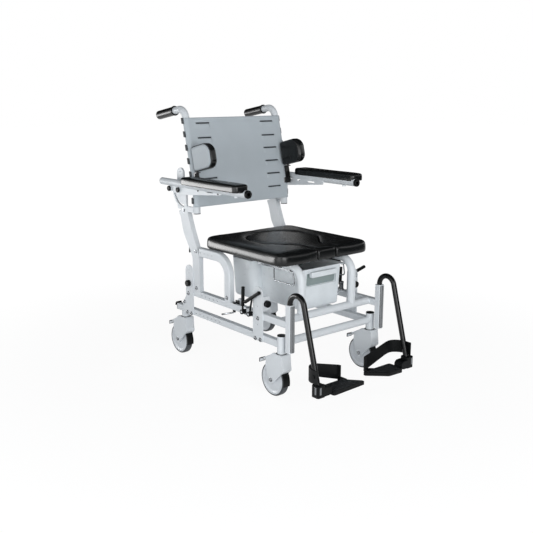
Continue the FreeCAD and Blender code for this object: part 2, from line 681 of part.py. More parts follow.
def cane_path(x):
    return path_yz([
        (CANE_FOOT_Y, CANE_FOOT_Z), (CANE_KNEE_Y, CANE_KNEE_Z, CANE_KNEE_BEND),
        (CANE_TOP_Y, CANE_TOP_Z, CANE_TOP_BEND), (HANDLE_END_Y, HANDLE_END_Z)], x)


def cane_core(radius):
    """A solid rod that follows the left cane."""
    return round_rod(cane_path(CANE_X), radius)


def back_cane():
    return round_tube(cane_path(CANE_X), CANE_RADIUS, TUBE_WALL)


def handle_point(distance):
    """A point on the push handle, measured back from its end."""
    return V(CANE_X, HANDLE_END_Y - distance * math.cos(HANDLE_ANGLE),
        HANDLE_END_Z + distance * math.sin(HANDLE_ANGLE))


def push_grip():
    axis = V(0, math.cos(HANDLE_ANGLE), -math.sin(HANDLE_ANGLE))
    start = handle_point(GRIP_LENGTH - GRIP_WALL_END)
    body = cylinder(start, axis, GRIP_RADIUS, GRIP_LENGTH)
    body = body.makeFillet(3.0, body.Edges)
    return body.cut(cylinder(start - axis, axis, CANE_RADIUS, GRIP_LENGTH - GRIP_WALL_END + 1))


def back_post():
    outer_radius = ARM_SLOT_RADIUS + ARM_GUIDE_RADIUS + ARM_SECTOR_RIM
    top = ARM_PIVOT_Z - ARM_SLOT_RADIUS - 2 * ARM_GUIDE_RADIUS - 2.0    # clears the armrest's nut
    tube = profile_yz([
        (POST_FRONT_Y, POST_FOOT_Z), (POST_REAR_Y, POST_FOOT_Z), (POST_REAR_Y, 432.0, 60.0),
        (592.0, 523.0, 90.0), (608.0, 580.0, 90.0), (POST_TOP_REAR, top - 14.0),
        (POST_TOP_FRONT, top + 8.0),
        (548.0, 576.0, 90.0), (529.0, 531.0, 90.0), (POST_FRONT_Y, 440.0, 60.0)],
        RAIL_OUTER_X - POST_THICKNESS, RAIL_OUTER_X)
    x0 = BACK_PLATE_INNER_X
    x1 = RAIL_OUTER_X
    sector = along_x(x0, x1, ARM_PIVOT_Y, ARM_PIVOT_Z, outer_radius)
    kept = profile_yz([
        (POST_TOP_FRONT, ARM_PIVOT_Z), (POST_TOP_FRONT, top - 20.0),
        (ARM_PIVOT_Y + outer_radius, top - 20.0),
        (ARM_PIVOT_Y + outer_radius, ARM_PIVOT_Z + ARM_SECTOR_RIM)], x0, x1)
    half = BACK_PLATE_WIDTH / 2
    blade = profile_yz([
        (POST_TOP_FRONT, top - 5.0), (BACK_PLATE_Y - half, ARM_PIVOT_Z - 30.0, 20.0),
        (BACK_PLATE_Y - half, BACK_PLATE_TOP, 20.0),
        (BACK_PLATE_Y + half, BACK_PLATE_TOP, 20.0), (BACK_PLATE_Y + half, top - 5.0)], x0, x1)
    half_link = BACK_LINK_HEIGHT / 2
    links = [box(x0, x1, CANE_KNEE_Y + 4.0, BACK_PLATE_Y, z - half_link, z + half_link)
             for z in (BACK_LINK_LOW_Z, LATERAL_CLAMP_Z)]
    spacer = along_x(x0, GUSSET_INNER_X - GAP, ARM_PIVOT_Y, ARM_PIVOT_Z, ARM_BUSH_RADIUS)
    pin = along_x(x0, GUSSET_OUTER_X + GAP, ARM_PIVOT_Y, ARM_PIVOT_Z, ARM_PIN_RADIUS)
    head = along_x(GUSSET_OUTER_X + GAP, GUSSET_OUTER_X + 8.0, ARM_PIVOT_Y, ARM_PIVOT_Z, ARM_HEAD_RADIUS)
    head = soft_edge(head, 4.0, lambda edge: edge.BoundBox.XMin > GUSSET_OUTER_X + 7.9)
    body = fuse(tube, sector.common(kept), blade, *links)
    body = body.cut(arm_slot()).cut(cane_core(CANE_RADIUS)).cut(along_x(
        x0 - 1, x1 + 1, BACK_PLATE_Y, BACK_PLATE_TOP - 16.0, HOLE_RADIUS))
    return fuse(body, spacer, pin, head)


def arm_slot():
    """Quarter ring that guides the armrest, with round ends."""
    x0 = RAIL_OUTER_X - POST_THICKNESS - 1
    x1 = RAIL_OUTER_X + 1
    half = ARM_GUIDE_RADIUS + GAP + 0.2
    ring = along_x(x0, x1, ARM_PIVOT_Y, ARM_PIVOT_Z, ARM_SLOT_RADIUS + half).cut(
        along_x(x0, x1, ARM_PIVOT_Y, ARM_PIVOT_Z, ARM_SLOT_RADIUS - half))
    quarter = ring.common(box(x0, x1, ARM_PIVOT_Y, ARM_PIVOT_Y + 2 * ARM_SLOT_RADIUS,
                              ARM_PIVOT_Z - 2 * ARM_SLOT_RADIUS, ARM_PIVOT_Z))
    rest = along_x(x0, x1, ARM_PIVOT_Y + ARM_SLOT_RADIUS, ARM_PIVOT_Z, half)
    raised = along_x(x0, x1, ARM_PIVOT_Y, ARM_PIVOT_Z - ARM_SLOT_RADIUS, half)
    return fuse(quarter, rest, raised)


def along_cane(x0, x1, front, rear):
    """A flat band that follows the canes, at the given distances in front of and behind their middle."""
    wire = cane_path(0)
    section = Part.Wire(Part.makePolygon([
        V(x0, -front, 0), V(x1, -front, 0), V(x1, rear, 0), V(x0, rear, 0), V(x0, -front, 0)]))
    foot_lean = math.degrees(math.atan2(CANE_KNEE_Y - CANE_FOOT_Y, CANE_KNEE_Z - CANE_FOOT_Z))
    turn = FreeCAD.Rotation(V(1, 0, 0), -foot_lean)
    section.Placement = FreeCAD.Placement(V(0, CANE_FOOT_Y, CANE_FOOT_Z), turn)
    return sweep(wire, section)


def level_slab(z0, z1):
    """All the room between two heights, short of the push handles."""
    return box(-2 * CANE_X, 2 * CANE_X, 0, CANE_TOP_Y + SLEEVE_OUTER, z0, z1)


def back_upholstery():
    sleeve = cane_core(SLEEVE_OUTER).cut(cane_core(SLEEVE_INNER))
    sheet = along_cane(-CANE_X, CANE_X, SLEEVE_OUTER, -SLEEVE_INNER)
    body = fuse(sheet, sleeve, mirrored(sleeve)).common(level_slab(SLING_BOTTOM, SLING_TOP))
    clamp_gap = level_slab(LATERAL_CLAMP_Z - STRAP_HEIGHT / 2 - SOFT_GAP,
        LATERAL_CLAMP_Z + STRAP_HEIGHT / 2 + SOFT_GAP)
    clamp_gap = clamp_gap.common(pair(cane_core(2 * CANE_RADIUS)))
    bar_gap = along_x(-CANE_X, CANE_X, BACK_BAR_Y, BACK_BAR_Z, BACK_BAR_RADIUS + GAP)
    return body.cut(clamp_gap).cut(bar_gap)


def back_straps():
    """Webbing that ties the back cover to the canes and runs across behind it."""
    outer = SLEEVE_OUTER + STRAP_THICKNESS
    beside = along_cane(CANE_X, 2 * CANE_X, STRAP_WRAP, outer + 1)
    loop = cane_core(outer).cut(cane_core(SLEEVE_OUTER)).common(beside)
    rear = along_cane(-CANE_X, CANE_X, -SLEEVE_OUTER, outer)
    band = fuse(loop, mirrored(loop), rear)
    straps = []
    for i in range(STRAP_COUNT):
        z = STRAP_FIRST_Z + i * STRAP_PITCH
        if z != LATERAL_CLAMP_Z:
            straps.append(band.common(level_slab(z - STRAP_HEIGHT / 2, z + STRAP_HEIGHT / 2)))
    return group(*straps)


# Lateral supports, made upright beside an upright cane and then leant back with it

def leant(shape):
    shape.Placement = FreeCAD.Placement(V(0, CANE_AT_LATERAL_Y, LATERAL_BOTTOM),
                                        FreeCAD.Rotation(V(1, 0, 0), -math.degrees(CANE_LEAN)))
    return shape


def lateral_pad():
    rear = LATERAL_REAR_MARGIN - LATERAL_HINGE_FORWARD
    front = rear - LATERAL_DEPTH
    bend = LATERAL_HEIGHT / 2 - 1.0
    x0 = LATERAL_OUTER_X - LATERAL_THICKNESS
    panel = profile_yz([
        (rear, 0, 8.0), (rear, LATERAL_HEIGHT, 8.0), (front, LATERAL_HEIGHT, bend), (front, 0, bend)],
        x0, LATERAL_OUTER_X)
    panel = soft_edge(panel, 6.0, lambda edge: edge.BoundBox.XLength < 0.01)
    bore = along_z(LATERAL_HINGE_X, -LATERAL_HINGE_FORWARD, -1, LATERAL_PIN_LENGTH + 1.0,
        LATERAL_PIN_RADIUS + RUNNING)
    return leant(panel.cut(bore))


def lateral_bracket():
    x0 = LATERAL_HINGE_X - 12.0
    x1 = LATERAL_HINGE_X + 9.0
    near = -SLEEVE_OUTER - STRAP_THICKNESS - GAP
    drop = LATERAL_BOTTOM - LATERAL_CLAMP_Z + STRAP_HEIGHT / 2
    strip = box(x0, x1, near - 5.0, near, -drop, -2.0)
    foot = box(x0, x1, -LATERAL_HINGE_FORWARD - 7.0, near, -5.0, -2.0)
    pin = along_z(LATERAL_HINGE_X, -LATERAL_HINGE_FORWARD, -5.0, LATERAL_PIN_LENGTH, LATERAL_PIN_RADIUS)
    collar = along_z(LATERAL_HINGE_X, -LATERAL_HINGE_FORWARD, -5.0, -GAP, 2 * LATERAL_PIN_RADIUS)
    arm = leant(fuse(strip, foot, pin, collar))
    z0 = LATERAL_CLAMP_Z - STRAP_HEIGHT / 2
    z1 = LATERAL_CLAMP_Z + STRAP_HEIGHT / 2
    front_half = box(0, 2 * CANE_X, 0, CANE_KNEE_Y - 1.0, z0, z1)
    saddle = cane_core(SLEEVE_OUTER + 2.0).common(front_half)
    tie = box(x0, x1, CANE_KNEE_Y - SLEEVE_OUTER - 10.0, CANE_KNEE_Y - 1.0, z0, z1)
    return fuse(arm, saddle, tie).cut(cane_core(CANE_RADIUS))


# Armrests

def arm_gusset():
    z = ARM_Z
    x0 = GUSSET_INNER_X
    x1 = GUSSET_OUTER_X
    nose = ARM_PIVOT_Y + ARM_SLOT_RADIUS + 2 * ARM_GUIDE_RADIUS
    plate = profile_yz([
        (GUSSET_FRONT, z), (GUSSET_FRONT, z - GUSSET_FRONT_DEPTH, 6.0),
        (GUSSET_FRONT + 12.0, z - GUSSET_FRONT_DEPTH - 2.0),
        (ARM_PIVOT_Y - 26.0, z - GUSSET_REAR_DEPTH, 20.0),
        (ARM_PIVOT_Y + 12.0, z - GUSSET_REAR_DEPTH + 2.0, 16.0),
        (nose, ARM_PIVOT_Z - 2 * ARM_GUIDE_RADIUS, 9.0), (nose + 4.0, z)], x0, x1)
    slots = [(495.0, 562.0, 712.0), (446.0, 466.0, 708.0), (357.0, 400.0, 706.0)]
    for y0, y1, z_mid in slots:
        slot = box(x0 - 1, x1 + 1, y0 + 3.0, y1 - 3.0, z_mid - 3.0, z_mid + 3.0)
        ends = [along_x(x0 - 1, x1 + 1, y, z_mid, 3.0) for y in (y0 + 3.0, y1 - 3.0)]
        plate = plate.cut(fuse(slot, *ends))
    return plate


def armrest_frame():
    path = path_yz([(ARM_FRONT, ARM_Z), (ARM_REAR, ARM_Z)], ARM_X)
    tube = round_tube(path, ARM_TUBE_RADIUS, TUBE_WALL)
    pivot = along_x(GUSSET_INNER_X - 1, GUSSET_OUTER_X + 1, ARM_PIVOT_Y, ARM_PIVOT_Z,
        ARM_PIN_RADIUS + RUNNING)
    guide_y = ARM_PIVOT_Y + ARM_SLOT_RADIUS
    inner = BACK_PLATE_INNER_X - 5.5
    guide = along_x(inner, GUSSET_OUTER_X + 2, guide_y, ARM_PIVOT_Z, ARM_GUIDE_RADIUS)
    nut = along_x(inner, BACK_PLATE_INNER_X - 0.5, guide_y, ARM_PIVOT_Z, 2 * ARM_GUIDE_RADIUS)
    spacer = along_x(RAIL_OUTER_X + 0.5, GUSSET_INNER_X, guide_y, ARM_PIVOT_Z, 2 * ARM_GUIDE_RADIUS)
    head = along_x(GUSSET_OUTER_X, GUSSET_OUTER_X + 8.0, guide_y, ARM_PIVOT_Z, ARM_HEAD_RADIUS)
    head = soft_edge(head, 4.0, lambda edge: edge.BoundBox.XMin > GUSSET_OUTER_X + 7.9)
    clip = along_z(ARM_X, 201.0, ARM_Z - ARM_TUBE_RADIUS - 5.0, ARM_Z - ARM_TUBE_RADIUS + 2.0,
        HEAD_RADIUS)
    ends = [along_y(ARM_X, y, y + CAP_THICKNESS, ARM_Z, ARM_TUBE_RADIUS)
            for y in (ARM_FRONT - CAP_THICKNESS, ARM_REAR)]
    frame = fuse(tube, arm_gusset(), guide, nut, spacer, head, clip, *ends).cut(pivot)
    return frame


def arm_pad():
    x0 = PAD_INNER_X
    x1 = x0 + PAD_WIDTH
    y0 = PAD_FRONT
    y1 = y0 + PAD_LENGTH
    top = PAD_BOTTOM + PAD_THICKNESS
    pad = rounded_box(x0, x1, y0, y1, PAD_BOTTOM, top, 18.0)
    pad = soft_edge(pad, 9.0, level_edge(top))
    return pad.cut(along_y(ARM_X, y0 - 1, y1 + 1, ARM_Z, ARM_TUBE_RADIUS))


# Seat

def opening_points(inset, front):
    side = OPENING_HALF_WIDTH - inset
    channel = CHANNEL_HALF_WIDTH - inset
    rear = OPENING_MIDDLE_Y + side
    return [(channel, front), (channel, front + 92.0, 60.0), (side, OPENING_MIDDLE_Y - 54.0, 90.0),
            (side, rear, side - 0.5), (-side, rear, side - 0.5), (-side, OPENING_MIDDLE_Y - 54.0, 90.0),
            (-channel, front + 92.0, 60.0), (-channel, front)]


def seat_cushion():
    half = CUSHION_HALF_WIDTH
    pad = rounded_box(-half, half, CUSHION_FRONT, CUSHION_REAR, SEAT_BASE_Z, CUSHION_TOP, CUSHION_CORNER)
    pad = soft_edge(pad, CUSHION_EDGE, level_edge(CUSHION_TOP))
    opening = profile_xy(opening_points(0.0, CUSHION_FRONT - 1.0), SEAT_BASE_Z - 1, CUSHION_TOP + 1)
    return pad.cut(opening)


def seat_insert():
    bottom = SEAT_BASE_Z + GAP
    pad = profile_xy(opening_points(SOFT_GAP, CUSHION_FRONT), bottom, CUSHION_TOP)
    on_top = level_edge(CUSHION_TOP)
    front = [edge for edge in pad.Edges if on_top(edge) and edge.BoundBox.YMax < CUSHION_FRONT + 0.01]
    return pad.makeFillet(CUSHION_EDGE, front)


def seat_rail_path():
    return path_yz([(UPPER_CROSSBAR_Y, UPPER_RAIL_Z), (UPPER_CROSSBAR_Y, SEAT_TUBE_Z, SEAT_TUBE_BEND),
                    (SEAT_CROSS_Y, SEAT_TUBE_Z)], SEAT_TUBE_X)


def seat_rail():
    tube = round_tube(seat_rail_path(), SEAT_TUBE_RADIUS, TUBE_WALL)
    crossbar = along_x(0, RAIL_INNER_X, UPPER_CROSSBAR_Y, UPPER_RAIL_Z, CROSSBAR_RADIUS)
    rear = along_x(0, RAIL_INNER_X, SEAT_CROSS_Y, SEAT_CROSS_Z, SEAT_CROSS_RADIUS)
    return tube.cut(crossbar).cut(rear)


def seat_clips():
    clips = []
    core = along_y(SEAT_TUBE_X, 0, CUSHION_REAR, SEAT_TUBE_Z, SEAT_TUBE_RADIUS)
    half = CLIP_WIDTH / 2
    for y in CLIP_PLACES:
        clip = profile_xz([
            (SEAT_TUBE_X - half, SEAT_BASE_Z - CLIP_DEPTH, 8.0),
            (SEAT_TUBE_X + half, SEAT_BASE_Z - CLIP_DEPTH, 8.0),
            (SEAT_TUBE_X + half, SEAT_BASE_Z), (SEAT_TUBE_X - half, SEAT_BASE_Z)],
            y - CLIP_LENGTH / 2, y + CLIP_LENGTH / 2)
        clips.append(clip.cut(core))
    return pair(group(*clips))


# Pan and its runners

def tapered_block(half, y0, y1, z0, z1, draft, corner):
    low = outline([(-half + draft, y0 + draft, corner), (half - draft, y0 + draft, corner),
                   (half - draft, y1 - draft, corner), (-half + draft, y1 - draft, corner)])
    high = outline([(-half, y0, corner), (half, y0, corner), (half, y1, corner), (-half, y1, corner)])
    low.translate(V(0, 0, z0))
    high.translate(V(0, 0, z1))
    block = Part.makeLoft([low, high], True, True)
    return soft_edge(block, corner / 2, level_edge(z0))


def pan_volume(inset, top_up):
    floor = PAN_BOTTOM + inset
    narrow = tapered_block(PAN_FRONT_HALF - inset, PAN_FRONT + inset, PAN_STEP_Y + 20.0, floor,
                           PAN_TOP + top_up, PAN_DRAFT, 16.0)
    wide = tapered_block(PAN_REAR_HALF - inset, PAN_STEP_Y + inset, PAN_REAR - inset, floor,
                         PAN_REAR_TOP + top_up, PAN_DRAFT, 30.0)
    narrow = narrow.cut(box(-PAN_REAR_HALF, PAN_REAR_HALF, PAN_STEP_Y, PAN_REAR, PAN_REAR_TOP + top_up,
        2 * PAN_TOP))
    return fuse(narrow, wide)


def pan():
    outer = pan_volume(0.0, 0.0)
    inner = pan_volume(PAN_WALL, 10.0)
    recess_half = PAN_HANDLE_HALF + 11.0
    z0 = PAN_TOP - 66.0
    z1 = PAN_TOP - 17.0
    recess = box(-recess_half, recess_half, PAN_FRONT - 5.0, PAN_FRONT + PAN_RECESS_DEPTH, z0, z1)
    behind = box(-recess_half - PAN_WALL, recess_half + PAN_WALL, PAN_FRONT,
                 PAN_FRONT + PAN_RECESS_DEPTH + PAN_WALL, z0 - PAN_WALL, z1 + PAN_WALL)
    shell = outer.cut(inner.cut(behind)).cut(recess)
    rim_z = PAN_TOP - PAN_RIM_THICKNESS
    rim = rounded_box(-PAN_RIM_HALF, PAN_RIM_HALF, PAN_FRONT, PAN_STEP_Y, rim_z, PAN_TOP, 3.0)
    rim = rim.cut(inner)
    handle_z = PAN_TOP - 30.0
    handle = rounded_box(-PAN_HANDLE_HALF, PAN_HANDLE_HALF, PAN_FRONT - PAN_HANDLE_DEPTH, PAN_FRONT + 2.0,
                         handle_z, handle_z + PAN_HANDLE_HEIGHT, 5.0)
    grip_room = box(-PAN_HANDLE_HALF + 8.0, PAN_HANDLE_HALF - 8.0, PAN_FRONT - PAN_HANDLE_DEPTH + 4.0,
                    PAN_FRONT + 3.0, handle_z - 1.0, handle_z + PAN_HANDLE_HEIGHT - 4.0)
    handle = handle.cut(grip_room)
    return fuse(shell, rim, handle)


def pan_guide():
    shelf_inner = PAN_FRONT_HALF + 2.0
    web = RUNNER_THICKNESS / 2
    y0 = PAN_FRONT + 2.0
    y1 = y0 + RUNNER_LENGTH
    shelf = box(shelf_inner, SEAT_TUBE_X + web, y0, y1, RUNNER_TOP - RUNNER_THICKNESS, RUNNER_TOP)
    tube_bottom = SEAT_TUBE_Z - SEAT_TUBE_RADIUS
    hanger = box(SEAT_TUBE_X - web, SEAT_TUBE_X + web, y0 + 30.0, y1, RUNNER_TOP - RUNNER_THICKNESS,
        tube_bottom + 1.0)
    low = tube_bottom - GUARD_WIRE_DROP
    wire = round_rod(path_yz([
        (y0 + 15.0, RUNNER_TOP - 1.0), (y0 + 5.0, low, 10.0), (y0 + 120.0, low, 10.0),
        (y0 + 120.0, RUNNER_TOP - 1.0)], SEAT_TUBE_X), GUARD_WIRE_RADIUS)
    front_post = along_z(SEAT_TUBE_X, UPPER_CROSSBAR_Y, UPPER_RAIL_Z, SEAT_TUBE_Z, SEAT_TUBE_RADIUS + 1.0)
    return fuse(shelf, hanger, wire).cut(round_rod(seat_rail_path(), SEAT_TUBE_RADIUS)).cut(front_post)


# Footrests

def neck_apex_z():
    return NECK_BEND_Z + NECK_BEND / math.tan(math.radians(NECK_RAKE) / 2)


def neck_y(z):
    """Middle of the raked part of the neck at height z."""
    return RECEIVER_Y - (neck_apex_z() - z) * math.tan(math.radians(NECK_RAKE))


def footrest_neck(radius):
    path = path_yz([(RECEIVER_Y, NECK_BOTTOM_Z), (RECEIVER_Y, neck_apex_z(), NECK_BEND),
                    (neck_y(NECK_BOTTOM), NECK_BOTTOM)], RAIL_X)
    return round_rod(path, radius)


def bracket_middle_y():
    return neck_y((BRACKET_BOTTOM + BRACKET_TOP) / 2)


def footplate_bracket():
    y = bracket_middle_y()
    y0 = y - BRACKET_SIZE / 2
    y1 = y + BRACKET_SIZE / 2
    body = rounded_box(BRACKET_INNER_X, BRACKET_OUTER_X, y0, y1, BRACKET_BOTTOM, BRACKET_TOP, 8.0)
    ears = []
    for start in (y0, y1 - FLAP_EAR):
        ear = box(FLAP_PIN_X, BRACKET_INNER_X + 9.0, start, start + FLAP_EAR,
                  FLAP_PIN_Z - FLAP_KNUCKLE_RADIUS, FLAP_PIN_Z + FLAP_KNUCKLE_RADIUS)
        ears.append(fuse(ear, along_y(FLAP_PIN_X, start, start + FLAP_EAR, FLAP_PIN_Z,
            FLAP_KNUCKLE_RADIUS)))
    pin = along_y(FLAP_PIN_X, y0, y1, FLAP_PIN_Z, FLAP_PIN_RADIUS)
    return fuse(body, pin, *ears).cut(footrest_neck(NECK_RADIUS))


def footplate(tip_x, corner_x, slanted_front):
    """A left plate; its inner end narrows to a tip by one slanted edge, at the front or at the rear."""
    x1 = FOOTPLATE_OUTER_X
    square = FOOTPLATE_REAR if slanted_front else FOOTPLATE_FRONT
    slanted = FOOTPLATE_FRONT if slanted_front else FOOTPLATE_REAR
    inward = math.copysign(FOOTPLATE_TIP_WIDTH, slanted - square)
    plan = profile_xy([
        (x1, square, 8.0), (tip_x, square, 4.0), (tip_x, square + inward, 4.0), (corner_x, slanted, 12.0),
        (x1, slanted, 8.0)], 0, FOOTPLATE_TOP)
    side = profile_xz([
        (0, FOOTPLATE_TOP), (x1 + 1, FOOTPLATE_TOP), (x1 + 1, FOOTPLATE_TOP - FOOTPLATE_ROOT),
        (tip_x, FOOTPLATE_TOP - FOOTPLATE_TIP), (0, FOOTPLATE_TOP - FOOTPLATE_TIP)],
        FOOTPLATE_FRONT - 1, FOOTPLATE_REAR + 1)
    y = bracket_middle_y()
    half = BRACKET_SIZE / 2 - FLAP_EAR - GAP
    knuckle = along_y(FLAP_PIN_X, y - half, y + half, FLAP_PIN_Z, FLAP_KNUCKLE_RADIUS)
    root = box(x1 - 8.0, FLAP_PIN_X, y - half, y + half, FOOTPLATE_TOP - FOOTPLATE_ROOT + 2.0,
        FOOTPLATE_TOP)
    shoulder = box(FLAP_PIN_X - FLAP_KNUCKLE_RADIUS, FLAP_PIN_X, y - half, y + half, FOOTPLATE_TOP - 1.0,
        FLAP_PIN_Z)
    bore = along_y(FLAP_PIN_X, y - half - 1, y + half + 1, FLAP_PIN_Z, FLAP_PIN_RADIUS + RUNNING)
    tab_half = 2 * HEEL_POST_RADIUS
    tab_rear = HEEL_POST_Y + HEEL_POST_RADIUS
    tab = profile_xy([
        (HEEL_POST_X - tab_half, tab_rear, 6.0), (HEEL_POST_X + tab_half, tab_rear, 6.0),
        (RIGHT_PLATE_CORNER_X + 20.0, FOOTPLATE_REAR, 8.0),
        (RIGHT_PLATE_CORNER_X + 20.0, FOOTPLATE_REAR - 12.0),
        (HEEL_POST_X - tab_half, FOOTPLATE_REAR - 12.0)], FOOTPLATE_TOP - FOOTPLATE_TIP, FOOTPLATE_TOP)
    post = along_z(HEEL_POST_X, HEEL_POST_Y, FOOTPLATE_TOP - 5.0, FOOTPLATE_TOP + HEEL_POST_HEIGHT,
        HEEL_POST_RADIUS)
    starts = [FOOTPLATE_FRONT + 10.0 + 9.0 * i for i in range(6)]
    grooves = [box(LEFT_PLATE_CORNER_X + 10.0, x1 - 12.0, y0, y0 + 2.5, FOOTPLATE_TOP - 1.0, FOOTPLATE_TOP + 1)
               for y0 in starts]
    solid = fuse(plan.common(side), knuckle, root, shoulder, tab, post)
    return solid.cut(bore).cut(Part.makeCompound(grooves))


def heel_strap():
    x1 = HEEL_STRAP_X
    y1 = HEEL_STRAP_Y
    front = neck_y(HEEL_OUTER_BOTTOM) - NECK_RADIUS - 4.0
    half = STRAP_THICKNESS / 2
    inner_x = HEEL_POST_X - 2.0
    band = profile_xy([
        (x1 + half, front), (x1 + half, y1 + half, HEEL_STRAP_BEND + half), (inner_x, y1 + half),
        (inner_x, y1 - half), (x1 - half, y1 - half, HEEL_STRAP_BEND - half), (x1 - half, front)],
        HEEL_INNER_BOTTOM - 5.0, HEEL_OUTER_TOP + 5.0)
    bend_x = x1 - HEEL_STRAP_BEND
    side = profile_xz([
        (inner_x - 1, HEEL_INNER_BOTTOM), (bend_x, HEEL_OUTER_BOTTOM, HEEL_STRAP_CORNER),
        (x1 + 5.0, HEEL_OUTER_BOTTOM),
        (x1 + 5.0, HEEL_OUTER_TOP), (bend_x, HEEL_OUTER_TOP, HEEL_STRAP_CORNER),
        (inner_x - 1, HEEL_INNER_TOP)], front - 1, y1 + 5.0)
    z = (HEEL_OUTER_TOP + HEEL_OUTER_BOTTOM) / 2
    rivet = along_x(RAIL_X, x1 + half + 2.5, neck_y(z), z, HEAD_RADIUS).cut(footrest_neck(NECK_RADIUS))
    return fuse(band.common(side), rivet)


# Hand levers, each on a pin that stands out of the upper rail

def lever(y, reach, lean, grip_length, grip_tilt):
    """A hub with a rod leaning forward from it, and a grip whose middle is at the rod's end."""
    z = UPPER_RAIL_Z
    hub = along_x(RAIL_OUTER_X + 2 * GAP, LEVER_HUB_END, y, z, LEVER_HUB_RADIUS)
    bore = along_x(RAIL_OUTER_X, LEVER_HUB_END + 1, y, z, LEVER_PIN_RADIUS + RUNNING)
    rod_way = V(0, -math.sin(math.radians(lean)), math.cos(math.radians(lean)))
    grip_way = V(0, -math.cos(math.radians(grip_tilt)), math.sin(math.radians(grip_tilt)))
    start = V(LEVER_X, y, z)
    rod = cylinder(start, rod_way, LEVER_ROD_RADIUS, reach)
    grip = cylinder(start + rod_way * reach - grip_way * (grip_length / 2), grip_way, LEVER_GRIP_RADIUS,
        grip_length)
    grip = grip.makeFillet(2.0, grip.Edges)
    return fuse(hub, rod, grip).cut(bore)


def clamp_lever():
    grip_length = CLAMP_LEVER_RISE - 22.0
    return lever(CLAMP_LEVER_Y, CLAMP_LEVER_RISE - grip_length / 2, 2.0, grip_length, 88.0)


def release_lever(reach, lean):
    return lever(RELEASE_LEVER_Y, reach, lean, RELEASE_GRIP_LENGTH, RELEASE_GRIP_TILT)


# Small fixed pieces

def bolt_head(x, y, z):
    """A domed head on the outer side of a plate or tube at x."""
    head = along_x(x, x + HEAD_HEIGHT, y, z, HEAD_RADIUS)
    return soft_edge(head, 2.5, lambda edge: edge.BoundBox.XMin > x + HEAD_HEIGHT - 0.01)


def frame_bolts():
    y = FRONT_PLATE_Y
    low = LOWER_RAIL_Z - 6.0
    on_plates = [(y, UPPER_RAIL_Z - 9.0), (y - 14.0, low), (y + 14.0, low),
                 (REAR_PLATE_Y + 8.0, UPPER_RAIL_Z - 7.0), (REAR_PLATE_Y + 38.0, LOWER_RAIL_Z + 33.0),
                 (REAR_PLATE_Y + 18.0, low), (REAR_PLATE_Y - 11.0, low)]
    on_posts = [(POST_FOOT_Y, HOOP_Z), (POST_FOOT_Y, POST_FOOT_Z + 12.0),
        (BACK_PLATE_Y - 20.0, BACK_LINK_LOW_Z - 8.0)]
    on_hoops = [(HOOP_FRONT_Y, POST_FOOT_Z + 14.0)]
    heads = [bolt_head(PLATE_OUTER_X, *place) for place in on_plates]
    heads += [bolt_head(RAIL_OUTER_X, *place) for place in on_posts + on_hoops]
    return pair(group(*heads))


def tube_end_caps():
    """Black plastic plugs over the open ends of the tubes."""
    rear_end = SWIVEL_BASE + LOWER_RAIL_OVERHANG
    half = RAIL_SIZE / 2
    plug = rounded_box(RAIL_X - half, RAIL_X + half, rear_end, rear_end + CAP_THICKNESS,
                       LOWER_RAIL_Z - half, LOWER_RAIL_Z + half, 1.0)
    hook_y = rear_end + CAP_THICKNESS
    hook_z = LOWER_RAIL_Z + half - HOOK_RADIUS + 6.0
    ring = along_x(RAIL_X - HOOK_WIDTH / 2, RAIL_X + HOOK_WIDTH / 2, hook_y, hook_z, HOOK_RADIUS).cut(
        along_x(RAIL_X - half, RAIL_X + half, hook_y, hook_z, HOOK_RADIUS - HOOK_THICKNESS))
    shank = box(RAIL_X - HOOK_WIDTH / 2, RAIL_X + HOOK_WIDTH / 2, rear_end, hook_y + 1.0,
                LOWER_RAIL_Z + half - 3.0, hook_z + HOOK_RADIUS - 0.5)
    lower = fuse(plug, shank, ring.common(box(0, 2 * RAIL_X, hook_y - 1.0, hook_y + HOOK_RADIUS, hook_z - 3.0,
                                              hook_z + HOOK_RADIUS)))
    upper = rounded_box(RAIL_X - half, RAIL_X + half, UPPER_RAIL_REAR, UPPER_RAIL_REAR + CAP_THICKNESS,
                        UPPER_RAIL_Z - half, UPPER_RAIL_Z + half, 1.0)
    hoop = rounded_box(RAIL_INNER_X, RAIL_OUTER_X - POST_THICKNESS + 4.0, HOOP_REAR_END,
                       HOOP_REAR_END + CAP_THICKNESS, HOOP_Z - HOOP_WIDTH / 2, HOOP_Z + HOOP_WIDTH / 2, 1.0)
    stem = along_z(RAIL_X, 0, FRONT_STEM_TOP, FRONT_STEM_TOP + CAP_THICKNESS, STEM_TUBE_RADIUS)
    foot_axis = V(0, CANE_FOOT_Y - CANE_KNEE_Y, CANE_FOOT_Z - CANE_KNEE_Z).normalize()
    foot = cylinder(V(CANE_X, CANE_FOOT_Y, CANE_FOOT_Z), foot_axis, CANE_RADIUS, CAP_THICKNESS)
    return pair(group(lower, upper, hoop, stem, foot))


# Names, and which side each piece is for

pieces = {}


def add_sides(name, left_shape):
    pieces[name + "_left"] = left_shape
    pieces[name + "_right"] = mirrored(left_shape)


